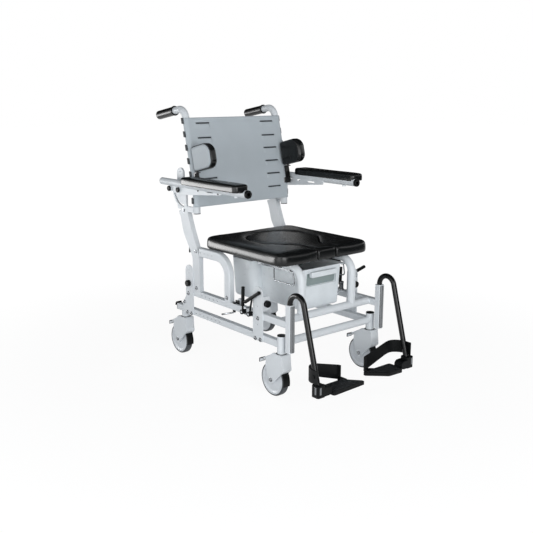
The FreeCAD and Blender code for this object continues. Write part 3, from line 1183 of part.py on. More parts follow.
add_sides("base_rail", base_rail())
add_sides("upper_rail", upper_rail())
pieces["crossbars"] = crossbars()
pieces["height_plates"] = height_plates()
pieces["side_hoops"] = pair(side_hoop())
pieces["back_posts"] = pair(back_post())
pieces["back_canes"] = pair(back_cane())
pieces["push_grips"] = pair(push_grip())
pieces["back_upholstery"] = back_upholstery()
pieces["back_straps"] = back_straps()
pieces["lateral_brackets"] = pair(lateral_bracket())
pieces["seat_rails"] = pair(seat_rail())
pieces["seat_cushion"] = seat_cushion()
pieces["seat_clips"] = seat_clips()
pieces["pan_guides"] = pair(pan_guide())
pieces["frame_bolts"] = frame_bolts()
pieces["tube_end_caps"] = tube_end_caps()
pieces["seat_insert"] = seat_insert()
pieces["pan"] = pan()
add_sides("armrest_frame", armrest_frame())
add_sides("arm_pad", arm_pad())
add_sides("lateral_pad", lateral_pad())
add_sides("footrest_tube", footrest_neck(NECK_RADIUS))
add_sides("footplate_bracket", footplate_bracket())
pieces["footplate_left"] = footplate(LEFT_PLATE_TIP_X, LEFT_PLATE_CORNER_X, True)
pieces["footplate_right"] = mirrored(footplate(RIGHT_PLATE_TIP_X, RIGHT_PLATE_CORNER_X, False))
add_sides("heel_strap", heel_strap())
add_sides("front_knob", front_knob())
add_sides("rear_knob", rear_knob())
add_sides("clamp_lever", clamp_lever())
pieces["release_lever_left"] = release_lever(RELEASE_LEFT_REACH, RELEASE_LEFT_LEAN)
pieces["release_lever_right"] = mirrored(release_lever(RELEASE_RIGHT_REACH, RELEASE_RIGHT_LEAN))

front_stem = caster_stem(FRONT_STEM_TOP - 4.0 - GAP - STEM_TUBE_BOTTOM)
rear_stem = caster_stem(LOWER_RAIL_Z + RAIL_SIZE / 2 - RAIL_WALL - GAP - STEM_TUBE_BOTTOM)
caster_places = (("front", 0.0, front_stem), ("rear", SWIVEL_BASE, rear_stem))
for end, place_y, stem in caster_places:
    caster = {"fork": fuse(caster_fork(), stem), "wheel": caster_wheel(), "tyre": caster_tyre(),
              "pedal": caster_pedal()}
    for name, shape in caster.items():
        shape.translate(V(RAIL_X, place_y, 0))
        add_sides("caster_" + name + "_" + end, shape)

os.makedirs("parts", exist_ok=True)
for name, shape in pieces.items():
    placed = shape.copy()
    placed.translate(V(0, -CENTRE_Y, 0))
    placed.exportStep("parts/" + name + ".step")
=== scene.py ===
import json
import math

import bmesh
import bpy
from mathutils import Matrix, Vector


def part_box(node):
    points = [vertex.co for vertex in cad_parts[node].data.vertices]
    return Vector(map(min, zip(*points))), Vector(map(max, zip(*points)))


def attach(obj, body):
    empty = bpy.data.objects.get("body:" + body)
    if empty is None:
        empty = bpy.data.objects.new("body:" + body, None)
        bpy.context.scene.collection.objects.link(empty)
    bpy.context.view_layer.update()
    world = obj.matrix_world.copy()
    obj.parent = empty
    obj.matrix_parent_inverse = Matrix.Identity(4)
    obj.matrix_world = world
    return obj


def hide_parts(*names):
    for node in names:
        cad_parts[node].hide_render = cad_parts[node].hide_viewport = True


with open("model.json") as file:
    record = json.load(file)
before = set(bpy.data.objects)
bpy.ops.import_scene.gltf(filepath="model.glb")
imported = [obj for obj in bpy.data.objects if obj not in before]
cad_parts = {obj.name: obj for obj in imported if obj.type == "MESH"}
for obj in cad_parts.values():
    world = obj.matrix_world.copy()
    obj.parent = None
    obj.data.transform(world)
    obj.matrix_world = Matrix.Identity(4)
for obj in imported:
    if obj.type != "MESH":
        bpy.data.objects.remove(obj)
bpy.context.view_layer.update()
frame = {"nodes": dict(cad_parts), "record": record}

nodes = frame["nodes"]
SIDES = (("left", 1.0), ("right", -1.0))
CASTER_TRAIL = 0.0356


def stem_line(end):
    """Where the caster stems of one end stand along the chair, in metres."""
    low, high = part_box(f"caster_wheel_{end}_left")
    return (low[1] + high[1]) / 2 - CASTER_TRAIL


STEM_Y = stem_line("front")


def at(x, y, z):
    """A point in metres from millimetres, with y counted from the line of the front caster stems."""
    return Vector((x / 1000, STEM_Y + y / 1000, z / 1000))


def along(y):
    """A y in metres as millimetres from the line of the front caster stems."""
    return (y - STEM_Y) * 1000


# ---- camera, floor and light

CAMERA_PLACE = (-1903.0, -1939.4, 1072.3)
CAMERA_YAW = 39.63
CAMERA_PITCH = 12.94
LENS = 51.39
AMBIENT = 0.2              # the world's light on the object
FLOOR_SIZE = 40.0
FLOOR_FADE = (0.6, 2.4)    # how far out the floor turns from lit to white
FLOOR_WHITE = (0.9, 1.0)   # its share of plain white at those two distances
FLOOR_GLOW = 1.03
AIMED_AT = Vector((0, 0, 0.5))

# name, place, point aimed at, width, height, power
LAMPS = (
    ("left", (-2.6, -0.7, 0.9), (0, 0, 0.5), 2.0, 1.5, 23.0),
    ("rim", (-1.9, 2.3, 0.5), (0, 0, 0.55), 1.2, 0.8, 6.0),
    ("front", (-1.0, -3.2, 1.15), (0, 0, 0.5), 2.6, 1.5, 68.0),
    ("right", (3.0, -0.8, 1.2), (0, 0, 0.5), 2.0, 2.0, 10.0),
    ("right_rear", (2.0, 2.33, 1.12), (0, 0, 0.5), 0.32, 0.6, 0.3),
    ("top", (0.0, 0.2, 3.2), (0, 0, 0.4), 2.6, 2.6, 3.0),
)
# name, place, width, height, glow
CARDS = (
    ("card_behind", (2.2, 4.8, 2.4), 13.0, 4.6, 0.0),
    ("card_above", (0.6, 0.6, 5.0), 14.0, 14.0, 0.0),
    ("card_front", (1.6, -2.0, 0.55), 4.4, 1.2, 0.0),
    ("card_rim", (-1.75, 2.1, 0.40), 1.4, 0.78, 13.5),
)


def aim(obj, direction):
    obj.rotation_mode = "QUATERNION"
    obj.rotation_quaternion = Vector(direction).to_track_quat("-Z", "Y")


def make_camera():
    data = bpy.data.cameras.new("camera")
    data.sensor_width = 36.0
    data.lens = LENS
    data.clip_start = 0.05
    data.clip_end = 60.0
    cam = bpy.data.objects.new("camera", data)
    bpy.context.scene.collection.objects.link(cam)
    yaw = math.radians(CAMERA_YAW)
    pitch = math.radians(CAMERA_PITCH)
    cam.location = at(*CAMERA_PLACE)
    aim(cam, (math.sin(yaw) * math.cos(pitch), math.cos(yaw) * math.cos(pitch), -math.sin(pitch)))
    bpy.context.scene.camera = cam


def maths(tree, operation, first, second):
    node = tree.nodes.new("ShaderNodeMath")
    node.operation = operation
    tree.links.new(first, node.inputs[0])
    tree.links.new(second, node.inputs[1])
    return node.outputs[0]


def seen_directly(tree):
    """1 for rays that show a background: from the camera, in a reflection or through glass."""
    path = tree.nodes.new("ShaderNodeLightPath").outputs
    first = maths(tree, "MAXIMUM", path["Is Camera Ray"], path["Is Glossy Ray"])
    return maths(tree, "MAXIMUM", first, path["Is Transmission Ray"])


def surface_of(tree, output, share, lit, shown):
    """Ends a material or the world in a mix of what lights the object and what is shown."""
    mix = tree.nodes.new("ShaderNodeMixShader")
    tree.links.new(share, mix.inputs[0])
    tree.links.new(lit.outputs[0], mix.inputs[1])
    tree.links.new(shown.outputs[0], mix.inputs[2])
    tree.links.new(mix.outputs[0], tree.nodes.new(output).inputs["Surface"])


def make_world():
    world = bpy.data.worlds.new("studio")
    world.use_nodes = True
    bpy.context.scene.world = world
    tree = world.node_tree
    tree.nodes.clear()
    dim = tree.nodes.new("ShaderNodeBackground")
    dim.inputs["Color"].default_value = (0.93, 0.96, 1.0, 1)
    dim.inputs["Strength"].default_value = AMBIENT
    white = tree.nodes.new("ShaderNodeBackground")
    white.inputs["Color"].default_value = (1, 1, 1, 1)
    white.inputs["Strength"].default_value = 1.0
    surface_of(tree, "ShaderNodeOutputWorld", seen_directly(tree), dim, white)


def make_floor():
    """A pale floor that takes the chair's shadow and runs out into the white of the background."""
    bpy.ops.mesh.primitive_plane_add(size=FLOOR_SIZE, location=(0, 0, 0))
    floor = bpy.context.object
    floor.name = "studio_floor"
    mat = bpy.data.materials.new("floor_white")
    mat.use_nodes = True
    tree = mat.node_tree
    tree.nodes.clear()
    distance = tree.nodes.new("ShaderNodeVectorMath")
    distance.operation = "LENGTH"
    tree.links.new(tree.nodes.new("ShaderNodeTexCoord").outputs["Object"], distance.inputs[0])
    away = tree.nodes.new("ShaderNodeMapRange")
    away.inputs["From Min"].default_value, away.inputs["From Max"].default_value = FLOOR_FADE
    away.inputs["To Min"].default_value, away.inputs["To Max"].default_value = FLOOR_WHITE
    away.interpolation_type = "SMOOTHSTEP"
    tree.links.new(distance.outputs["Value"], away.inputs["Value"])
    diffuse = tree.nodes.new("ShaderNodeBsdfDiffuse")
    diffuse.inputs["Color"].default_value = (0.86, 0.87, 0.88, 1)
    glow = tree.nodes.new("ShaderNodeEmission")
    glow.inputs["Color"].default_value = (1, 1, 1, 1)
    glow.inputs["Strength"].default_value = FLOOR_GLOW
    share = maths(tree, "MULTIPLY", seen_directly(tree), away.outputs[0])
    surface_of(tree, "ShaderNodeOutputMaterial", share, diffuse, glow)
    floor.data.materials.append(mat)


def make_cards():
    """Studio cards, dark or glowing, which only show as reflections in glossy surfaces."""
    for name, location, width, height, glow in CARDS:
        bpy.ops.mesh.primitive_plane_add(size=1.0, location=location)
        card = bpy.context.object
        card.name = name
        card.scale = (width, height, 1.0)
        aim(card, AIMED_AT - Vector(location))
        mat = bpy.data.materials.new(name)
        mat.use_nodes = True
        shader = mat.node_tree.nodes["Principled BSDF"]
        shader.inputs["Base Color"].default_value = (0.03, 0.03, 0.03, 1)
        shader.inputs["Roughness"].default_value = 0.9
        shader.inputs["Emission Color"].default_value = (1, 1, 1, 1)
        shader.inputs["Emission Strength"].default_value = glow
        card.data.materials.append(mat)
        card.visible_camera = False
        card.visible_diffuse = False
        card.visible_shadow = False
        card.visible_transmission = False


def make_lights():
    for name, location, target, width, height, power in LAMPS:
        data = bpy.data.lights.new(name, "AREA")
        data.shape = "RECTANGLE"
        data.size = width
        data.size_y = height
        data.energy = power
        light = bpy.data.objects.new(name, data)
        light.location = location
        light.visible_camera = False
        aim(light, Vector(target) - Vector(location))
        bpy.context.scene.collection.objects.link(light)


# ---- materials

def srgb(r, g, b):
    def linear(v):
        v /= 255.0
        return v / 12.92 if v <= 0.04045 else ((v + 0.055) / 1.055) ** 2.4
    return (linear(r), linear(g), linear(b))


def shade(colour, factor):
    return tuple(min(1.0, v * factor) for v in colour)


class Finish:
    """A principled material whose colour, roughness and bump come from object-space patterns."""

    def __init__(self, name, metallic=0.0, specular=0.5, coat=0.0, coat_roughness=0.1, sheen=0.0):
        self.mat = bpy.data.materials.new(name)
        self.mat.use_nodes = True
        self.tree = self.mat.node_tree
        self.shader = self.tree.nodes["Principled BSDF"]
        self.shader.inputs["Metallic"].default_value = metallic
        self.shader.inputs["Specular IOR Level"].default_value = specular
        self.shader.inputs["Coat Weight"].default_value = coat
        self.shader.inputs["Coat Roughness"].default_value = coat_roughness
        self.shader.inputs["Sheen Weight"].default_value = sheen
        self.place = self.tree.nodes.new("ShaderNodeTexCoord").outputs["Object"]
        self.height = None

    def scaled(self, scale):
        mapping = self.tree.nodes.new("ShaderNodeMapping")
        mapping.inputs["Scale"].default_value = scale
        self.tree.links.new(self.place, mapping.inputs["Vector"])
        return mapping.outputs[0]

    def noise(self, scale, detail=3.0, stretch=(1, 1, 1)):
        node = self.tree.nodes.new("ShaderNodeTexNoise")
        node.inputs["Scale"].default_value = scale
        node.inputs["Detail"].default_value = detail
        self.tree.links.new(self.scaled(stretch), node.inputs["Vector"])
        return node.outputs["Fac"]

    def cells(self, scale, stretch=(1, 1, 1)):
        node = self.tree.nodes.new("ShaderNodeTexVoronoi")
        node.inputs["Scale"].default_value = scale
        self.tree.links.new(self.scaled(stretch), node.inputs["Vector"])
        return node.outputs["Distance"]

    def stripes(self, scale, direction, distortion=0.0):
        node = self.tree.nodes.new("ShaderNodeTexWave")
        node.wave_type = "BANDS"
        node.bands_direction = direction
        node.inputs["Scale"].default_value = scale
        node.inputs["Distortion"].default_value = distortion
        self.tree.links.new(self.place, node.inputs["Vector"])
        return node.outputs["Fac"]

    def ramp(self, value, stops):
        node = self.tree.nodes.new("ShaderNodeValToRGB")
        self.tree.links.new(value, node.inputs["Fac"])
        ends = node.color_ramp.elements
        while len(ends) < len(stops):
            ends.new(0.5)
        for element, (position, colour) in zip(ends, stops):
            element.position = position
            element.color = (*colour, 1.0)
        return node.outputs["Color"]

    def spread(self, value, low, high):
        node = self.tree.nodes.new("ShaderNodeMapRange")
        node.inputs["To Min"].default_value = low
        node.inputs["To Max"].default_value = high
        self.tree.links.new(value, node.inputs["Value"])
        return node.outputs[0]

    def colour(self, value):
        self.tree.links.new(value, self.shader.inputs["Base Color"])

    def roughness(self, value):
        self.tree.links.new(value, self.shader.inputs["Roughness"])

    def bump(self, value, strength, distance):
        node = self.tree.nodes.new("ShaderNodeBump")
        node.inputs["Strength"].default_value = strength
        node.inputs["Distance"].default_value = distance
        self.tree.links.new(value, node.inputs["Height"])
        if self.height is not None:
            self.tree.links.new(self.height, node.inputs["Normal"])
        self.height = node.outputs[0]
        self.tree.links.new(self.height, self.shader.inputs["Normal"])


def worn_colour(finish, colour, scale=7.0, amount=0.06):
    """Slow changes of tone over the piece, as handling and cleaning leave."""
    value = finish.noise(scale, 4.0)
    finish.colour(finish.ramp(value, [(0.3, shade(colour, 1.0 - amount)),
                                      (0.7, shade(colour, 1.0 + amount))]))


def powder_coat(name, colour):
    finish = Finish(name, specular=0.16)
    worn_colour(finish, colour, 6.0, 0.035)
    finish.roughness(finish.spread(finish.noise(26.0), 0.36, 0.48))
    finish.bump(finish.noise(500.0, 2.0), 0.02, 0.0002)
    return finish.mat


def gloss_paint(name, colour):
    finish = Finish(name, specular=0.2, coat=0.18, coat_roughness=0.06)
    worn_colour(finish, colour, 9.0, 0.15)
    finish.roughness(finish.spread(finish.noise(40.0), 0.2, 0.3))
    finish.bump(finish.noise(500.0, 2.0), 0.03, 0.0003)
    return finish.mat


def plated_steel(name, colour):
    finish = Finish(name, metallic=1.0)
    worn_colour(finish, colour, 30.0, 0.08)
    finish.roughness(finish.spread(finish.noise(90.0, 4.0, (1, 1, 8)), 0.16, 0.32))
    finish.bump(finish.noise(700.0, 2.0, (1, 1, 6)), 0.04, 0.0002)
    return finish.mat


def moulded_plastic(name, colour, rough=(0.38, 0.52), grain=0.12, specular=0.4):
    finish = Finish(name, specular=specular)
    worn_colour(finish, colour, 12.0, 0.07)
    finish.roughness(finish.spread(finish.noise(60.0), *rough))
    finish.bump(finish.cells(1400.0), grain, 0.0003)
    return finish.mat


def foam_skin(name, colour, rough=(0.22, 0.3), specular=0.34):
    """Closed black skin on moulded foam: fine leather grain, with pores and slow sheen."""
    finish = Finish(name, specular=specular)
    worn_colour(finish, colour, 10.0, 0.25)
    finish.roughness(finish.spread(finish.noise(18.0, 5.0), *rough))
    finish.bump(finish.cells(620.0, (1, 1, 1.2)), 0.06, 0.0003)
    finish.bump(finish.noise(50.0, 4.0), 0.05, 0.0008)
    return finish.mat


def coated_weave(name, colour):
    finish = Finish(name, specular=0.3, sheen=0.1)
    warp = finish.stripes(420.0, "X", 0.4)
    weft = finish.stripes(420.0, "Z", 0.4)
    weave = maths(finish.tree, "MULTIPLY", warp, weft)
    cloud = finish.noise(5.0, 5.0)
    tone = finish.ramp(cloud, [(0.3, shade(colour, 0.95)), (0.7, shade(colour, 1.05))])
    mix = finish.tree.nodes.new("ShaderNodeMixRGB")
    mix.blend_type = "MULTIPLY"
    mix.inputs["Fac"].default_value = 0.22
    finish.tree.links.new(tone, mix.inputs["Color1"])
    threads = finish.ramp(weave, [(0.0, (0.72, 0.72, 0.73)), (1.0, (1, 1, 1))])
    finish.tree.links.new(threads, mix.inputs["Color2"])
    finish.colour(mix.outputs[0])
    finish.roughness(finish.spread(cloud, 0.55, 0.68))
    finish.bump(weave, 0.25, 0.0004)
    finish.bump(finish.noise(14.0, 4.0), 0.10, 0.003)
    return finish.mat


def webbing(name, colour):
    finish = Finish(name, specular=0.25, sheen=0.15)
    rib = finish.stripes(260.0, "Z", 0.2)
    cross = finish.stripes(500.0, "X", 0.3)
    threads = maths(finish.tree, "MULTIPLY", rib, cross)
    finish.colour(finish.ramp(threads, [(0.0, shade(colour, 0.6)), (1.0, shade(colour, 1.25))]))
    finish.roughness(finish.spread(finish.noise(50.0), 0.65, 0.8))
    finish.bump(rib, 0.4, 0.0005)
    return finish.mat


def ribbed_rubber(name, colour):
    finish = Finish(name, specular=0.3)
    worn_colour(finish, colour, 20.0, 0.2)
    finish.roughness(finish.spread(finish.noise(30.0), 0.24, 0.34))
    finish.bump(finish.stripes(60.0, "Y"), 0.02, 0.0004)
    finish.bump(finish.noise(900.0), 0.03, 0.0002)
    return finish.mat


def tread_rubber(name, colour):
    finish = Finish(name, specular=0.35)
    worn_colour(finish, colour, 16.0, 0.2)
    finish.roughness(finish.spread(finish.noise(45.0), 0.42, 0.6))
    finish.bump(finish.noise(650.0, 3.0), 0.15, 0.0004)
    return finish.mat


MATERIALS = {
    "frame_paint": powder_coat("light_grey_powder_coat", srgb(214, 219, 223)),
    "black_paint": gloss_paint("black_gloss_coat", srgb(11, 12, 13)),
    "bright_steel": plated_steel("plated_steel", srgb(128, 131, 134)),
    "black_plastic": moulded_plastic("black_moulding", srgb(13, 15, 16), (0.4, 0.52), 0.06, 0.12),
    "grey_plastic": moulded_plastic("light_grey_moulding", srgb(206, 211, 216), (0.32, 0.42), 0.05),
    "pan_plastic": moulded_plastic("pan_moulding", srgb(215, 221, 225), (0.24, 0.34), 0.04),
    # painted shade: a darker grey-green for the floor of the pan's handle recess, which the handle shades
    "recess_shade_plastic": moulded_plastic("recess_painted_shade", srgb(134, 147, 147), (0.3, 0.42), 0.05),
    "seat_foam": foam_skin("seat_skin", srgb(14, 16, 17)),
    "arm_foam": foam_skin("arm_skin", srgb(14, 16, 17)),
    "grip_rubber": ribbed_rubber("grip_rubber", srgb(12, 13, 14)),
    "back_fabric": coated_weave("back_weave", srgb(181, 190, 196)),
    "webbing": webbing("dark_webbing", srgb(64, 69, 73)),
    "tyre_rubber": tread_rubber("tyre_rubber", srgb(58, 62, 66)),
}


def dress_cad_nodes():
    for part in frame["record"]["subparts"]:
        obj = nodes[part["node"]]
        obj.data.materials.clear()
        obj.data.materials.append(MATERIALS[part["material_slot"]])


# ---- shared mesh work

SKIN_SHRINK = 0.0004       # how far a skin is drawn in before it is filled
SKIN_PRESSURE = 4.0
FILLING_FRAMES = 20
EVENING_ROUNDS = 24


def smooth_step(value):
    value = min(1.0, max(0.0, value))
    return value * value * (3 - 2 * value)


def arc(centre, radius, start, end, steps):
    """Points (a, b) on an arc, with the angles in degrees."""
    points = []
    for i in range(steps + 1):
        angle = math.radians(start + (end - start) * i / steps)
        points.append((centre[0] + radius * math.cos(angle), centre[1] + radius * math.sin(angle)))
    return points


def ring_skin(bm, rings, close_first=True, close_last=True):
    """Joins rings of points, all of the same count, into a skin."""
    made = [[bm.verts.new(p) for p in ring] for ring in rings]
    count = len(made[0])
    for first, second in zip(made, made[1:]):
        for i in range(count):
            j = (i + 1) % count
            bm.faces.new((first[i], first[j], second[j], second[i]))
    if close_first:
        bm.faces.new(list(reversed(made[0])))
    if close_last:
        bm.faces.new(made[-1])


def new_object(name, mesh, material):
    obj = bpy.data.objects.new(name, mesh)
    bpy.context.scene.collection.objects.link(obj)
    mesh.materials.clear()
    mesh.materials.append(material)
    return obj


def from_bmesh(name, bm, material, smooth=True):
    mesh = bpy.data.meshes.new(name)
    bm.normal_update()
    bm.to_mesh(mesh)
    bm.free()
    for face in mesh.polygons:
        face.use_smooth = smooth
    return new_object(name, mesh, material)


def apply_modifiers(obj):
    graph = bpy.context.evaluated_depsgraph_get()
    mesh = bpy.data.meshes.new_from_object(obj.evaluated_get(graph), depsgraph=graph)
    materials = list(obj.data.materials)
    obj.modifiers.clear()
    obj.data = mesh
    mesh.materials.clear()
    for material in materials:
        mesh.materials.append(material)
    for face in mesh.polygons:
        face.use_smooth = True


def remeshed_copy(name, node, voxel, material):
    """A closed even mesh of the CAD solid, drawn in by a little to leave room for swelling."""
    obj = new_object(name, nodes[node].data.copy(), material)
    remesh = obj.modifiers.new("remesh", "REMESH")
    remesh.mode = "VOXEL"
    remesh.voxel_size = voxel
    apply_modifiers(obj)
    smooth = obj.modifiers.new("smooth", "SMOOTH")
    smooth.factor = 0.5
    smooth.iterations = 3
    apply_modifiers(obj)
    mesh = obj.data
    normals = [v.normal.copy() for v in mesh.vertices]
    for vertex, normal in zip(mesh.vertices, normals):
        vertex.co -= SKIN_SHRINK * normal
    return obj


def inflate(obj, cap, held_below):
    """Cloth pressure fills the skin above a height; how far a point may move is capped."""
    mesh = obj.data
    before = [v.co.copy() for v in mesh.vertices]
    cloth = obj.modifiers.new("skin", "CLOTH")
    settings = cloth.settings
    settings.quality = 6
    settings.mass = 0.25
    settings.use_pressure = True
    settings.uniform_pressure_force = SKIN_PRESSURE
    settings.tension_stiffness = 25
    settings.compression_stiffness = 25
    settings.bending_stiffness = 4
    settings.effector_weights.gravity = 0
    group = obj.vertex_groups.new(name="held")
    group.add([v.index for v in mesh.vertices if v.co.z < held_below], 1.0, "REPLACE")
    settings.vertex_group_mass = "held"
    scene = bpy.context.scene
    for step in range(1, FILLING_FRAMES + 1):
        scene.frame_set(step)
    apply_modifiers(obj)
    scene.frame_set(1)
    moves = [vertex.co - start for vertex, start in zip(obj.data.vertices, before)]
    moves = [move * min(1.0, cap / max(move.length, 1e-9)) for move in moves]
    for vertex, start, move in zip(obj.data.vertices, before, evened(moves, obj.data)):
        vertex.co = start + move
    obj.vertex_groups.clear()


def evened(moves, mesh):
    """Spreads each point's move over its neighbours, so that a taut skin keeps no creases."""
    edges = [tuple(edge.vertices) for edge in mesh.edges]
    for _ in range(EVENING_ROUNDS):
        sums = [move.copy() for move in moves]
        counts = [1] * len(moves)
        for a, b in edges:
            sums[a] += moves[b]
            sums[b] += moves[a]
            counts[a] += 1
            counts[b] += 1
        moves = [total / count for total, count in zip(sums, counts)]
    return moves


def subdivide(obj):
    surface = obj.modifiers.new("surface", "SUBSURF")
    surface.levels = 1
    surface.render_levels = 1
    apply_modifiers(obj)


def round_edges(obj, weight, steps):
    """Rounds the edges of a skin; weight(point) says how much, from 0 to 1."""
    group = obj.vertex_groups.new(name="rounded")
    for vertex in obj.data.vertices:
        group.add([vertex.index], weight(vertex.co), "REPLACE")
    smooth = obj.modifiers.new("rounding", "SMOOTH")
    smooth.factor = 0.5
    smooth.iterations = steps
    smooth.vertex_group = "rounded"
    apply_modifiers(obj)
    obj.vertex_groups.clear()


def fit_box(obj, node, axes):
    """Stretches a rounded skin back to the size of its CAD solid."""
    low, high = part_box(node)
    for axis in axes:
        values = [v.co[axis] for v in obj.data.vertices]
        least, most = min(values), max(values)
        scale = (high[axis] - low[axis]) / (most - least)
        for vertex in obj.data.vertices:
            vertex.co[axis] = low[axis] + (vertex.co[axis] - least) * scale


def soft_copy(node, body, slot, voxel, cap, held_below, rounding, steps, fitted):
    """A padded piece in the place of a CAD solid, with its edges rounded and its skin filled."""
    obj = remeshed_copy(f"{node}_skin", node, voxel, MATERIALS[slot])
    round_edges(obj, rounding, steps)
    fit_box(obj, node, fitted)
    inflate(obj, cap, held_below)
    subdivide(obj)
    finish_soft(obj, body)
    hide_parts(node)


def finish_soft(obj, body):
    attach(obj, body)


# ---- soft goods

SEAT_FRONT = 8.0
SEAT_REAR = 478.0
SEAT_HALF = 225.0
SEAT_ROLL = 24.0           # width of the fully rounded outer edge
SEAT_ROLL_FADE = 16.0
CHANNEL_REACH = 80.0       # half width of the stretch at the front that opens forward
CHANNEL_DEPTH = 30.0
CHANNEL_FADE = 70.0
CRISP = 0.1                # rounding left at the keyhole's edges
SEAT_STEPS = 26
ARM_PAD_STEPS = 4


def seat_rounding(co):
    """The seat's outer edges are full and round, its keyhole edges crisp, and its tongue opens forward."""
    x = abs(co.x) * 1000
    y = along(co.y)
    outer = min(SEAT_HALF - x, y - SEAT_FRONT, SEAT_REAR - y)
    weight = 1 - smooth_step((outer - SEAT_ROLL) / SEAT_ROLL_FADE)
    if x < CHANNEL_REACH:
        weight = max(weight, 1 - smooth_step((y - SEAT_FRONT - CHANNEL_DEPTH) / CHANNEL_FADE))
    return max(CRISP, weight)


def make_seat():
    held_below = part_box("seat_cushion")[0][2] + 0.004
    soft_copy("seat_cushion", "chair", "seat_foam", 0.004, 0.003, held_below, seat_rounding, SEAT_STEPS,
              (0, 1, 2))
    soft_copy("seat_insert", "seat_insert", "seat_foam", 0.004, 0.002, held_below, seat_rounding,
              SEAT_STEPS, (2,))


def make_arm_pads():
    for side, _ in SIDES:
        node = f"arm_pad_{side}"
        held_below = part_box(node)[0][2] + 0.003
        soft_copy(node, f"armrest_{side}", "arm_foam", 0.003, 0.002, held_below, lambda co: 1.0,
                  ARM_PAD_STEPS, (0, 1, 2))


LATERAL_HEIGHT = 100.0
LATERAL_REAR = -20.0
LATERAL_FRONT = -140.0
LATERAL_OUTER = 242.0
LATERAL_INNER = 206.0
SHELL_DEPTH = 6.0
SHELL_X = LATERAL_OUTER - SHELL_DEPTH
LATERAL_CORNER = 9.0
TOP_CURVE = 40.0
FOOT_CURVE = 31.0
WAIST = 4.0                # how far the front edge swells forward at mid height
RIM_DEPTH = 12.0
RIM_WIDTH = 13.0
RIM_STEPS = 6


def lateral_outline(inset):
    """The D shape of a lateral support, as (forward, up) points beside an upright cane."""
    corner = LATERAL_CORNER
    top = TOP_CURVE - inset
    foot = FOOT_CURVE - inset
    rear = LATERAL_REAR - inset
    low = inset
    high = LATERAL_HEIGHT - inset
    front = LATERAL_FRONT + inset
    points = arc((rear - corner, high - corner), corner, 0, 90, 4)
    points += arc((front + top, high - top), top, 90, 180, 12)
    points += arc((front + foot, low + foot), foot, 180, 270, 12)
    points += arc((rear - corner, low + corner), corner, 270, 360, 4)
    middle = (high - top + low + foot) / 2
    return [(x - WAIST * max(0.0, 1 - ((z - middle) / 48.0) ** 2) * smooth_step((rear - 40.0 - x) / 60.0), z)
            for x, z in points]


def leant(sign, x, forward, up):
    """A point of a lateral support, leant back with its cane."""
    foot_y, foot_z = CANE_AT_LATERAL
    y = foot_y + forward * math.cos(CANE_LEAN) + up * math.sin(CANE_LEAN)
    z = foot_z - forward * math.sin(CANE_LEAN) + up * math.cos(CANE_LEAN)
    return at(sign * x, y, z)


def lateral_skin(name, side, sign, levels, slot):
    """A closed skin through outlines, each given as its place across the chair and its inset."""
    bm = bmesh.new()
    ring_skin(bm, [[leant(sign, x, *p) for p in lateral_outline(inset)] for x, inset in levels])
    bmesh.ops.recalc_face_normals(bm, faces=bm.faces)
    obj = from_bmesh(name, bm, MATERIALS[slot])
    finish_soft(obj, f"lateral_{side}")
    return obj


def make_lateral_pads():
    rim = []
    for i in range(RIM_STEPS + 1):
        turn = math.radians(90 * i / RIM_STEPS)
        rim.append((LATERAL_INNER + RIM_DEPTH * (1 - math.sin(turn)), 1.0 + RIM_WIDTH * (1 - math.cos(turn))))
    # foam face, crowned towards the sitter, with a rolled rim
    foam_levels = [(SHELL_X - 0.6, 2.0), (SHELL_X - 2.5, 1.0), *rim, (LATERAL_INNER - 0.6, 18.0),
                   (LATERAL_INNER - 1.2, 24.0), (LATERAL_INNER - 1.6, 29.0)]
    # grey back shell with a rounded rim, a little smaller than the foam
    shell_levels = [(SHELL_X + 0.2, 5.4), (LATERAL_OUTER - 3.5, 5.0), (LATERAL_OUTER - 1.6, 6.0),
                    (LATERAL_OUTER - 0.4, 8.5), (LATERAL_OUTER, 13.0), (LATERAL_OUTER - 0.4, 20.0),
                    (LATERAL_OUTER - 0.6, 28.0)]
    for side, sign in SIDES:
        node = f"lateral_pad_{side}"
        foam = lateral_skin(f"{node}_foam", side, sign, foam_levels, "arm_foam")
        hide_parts(node)
        lateral_skin(f"lateral_shell_{side}", side, sign, shell_levels, "back_fabric")
        # dark welt where the cover meets the foam
        path = [leant(sign, SHELL_X + 0.4, *p) for p in lateral_outline(4.0)]
        welt = round_bar(f"lateral_welt_{side}", path, 1.8, "webbing", closed=True)
        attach(welt, f"lateral_{side}")


# ---- back cover

CANE_X = 226.0
CANE_FOOT = (513.0, 607.0)
CANE_KNEE = (517.0, 720.0)
CANE_TOP = (585.5, 1010.5)
CANE_KNEE_REACH = 29.0
CANE_LEAN = math.atan2(CANE_TOP[0] - CANE_KNEE[0], CANE_TOP[1] - CANE_KNEE[1])
LATERAL_BOTTOM = 763.0
CANE_AT_LATERAL = (CANE_KNEE[0] + (LATERAL_BOTTOM - CANE_KNEE[1]) * math.tan(CANE_LEAN), LATERAL_BOTTOM)
COVER_RADIUS = 15.6       # cane's middle to the middle of the cloth
COVER_THICKNESS = 1.8
COVER_BOTTOM = 633.0
COVER_TOP = 974.0
COVER_WRAP = 84.0         # degrees round the outside of each cane
SLIT_HEIGHTS = (950.0, 894.0, 843.0, 790.0, 738.0, 683.0)
SLIT_INNER = 131.0
SLIT_OUTER = 195.0
SLIT_WIDTH = 5.2
TICK_WIDTH = 2.6           # the short cut down from the inner end of a slit
TICK_DROP = 11.0
FLAP_DROP = 24.0
FLAP_LIFT = 3.4
FLAP_END = SLIT_OUTER + 8.0
HEM = 13.0
HEM_SEAM = 15.5
COVER_DISH = 3.2
COVER_STEP = 5.0
WRAP_STEPS = 10


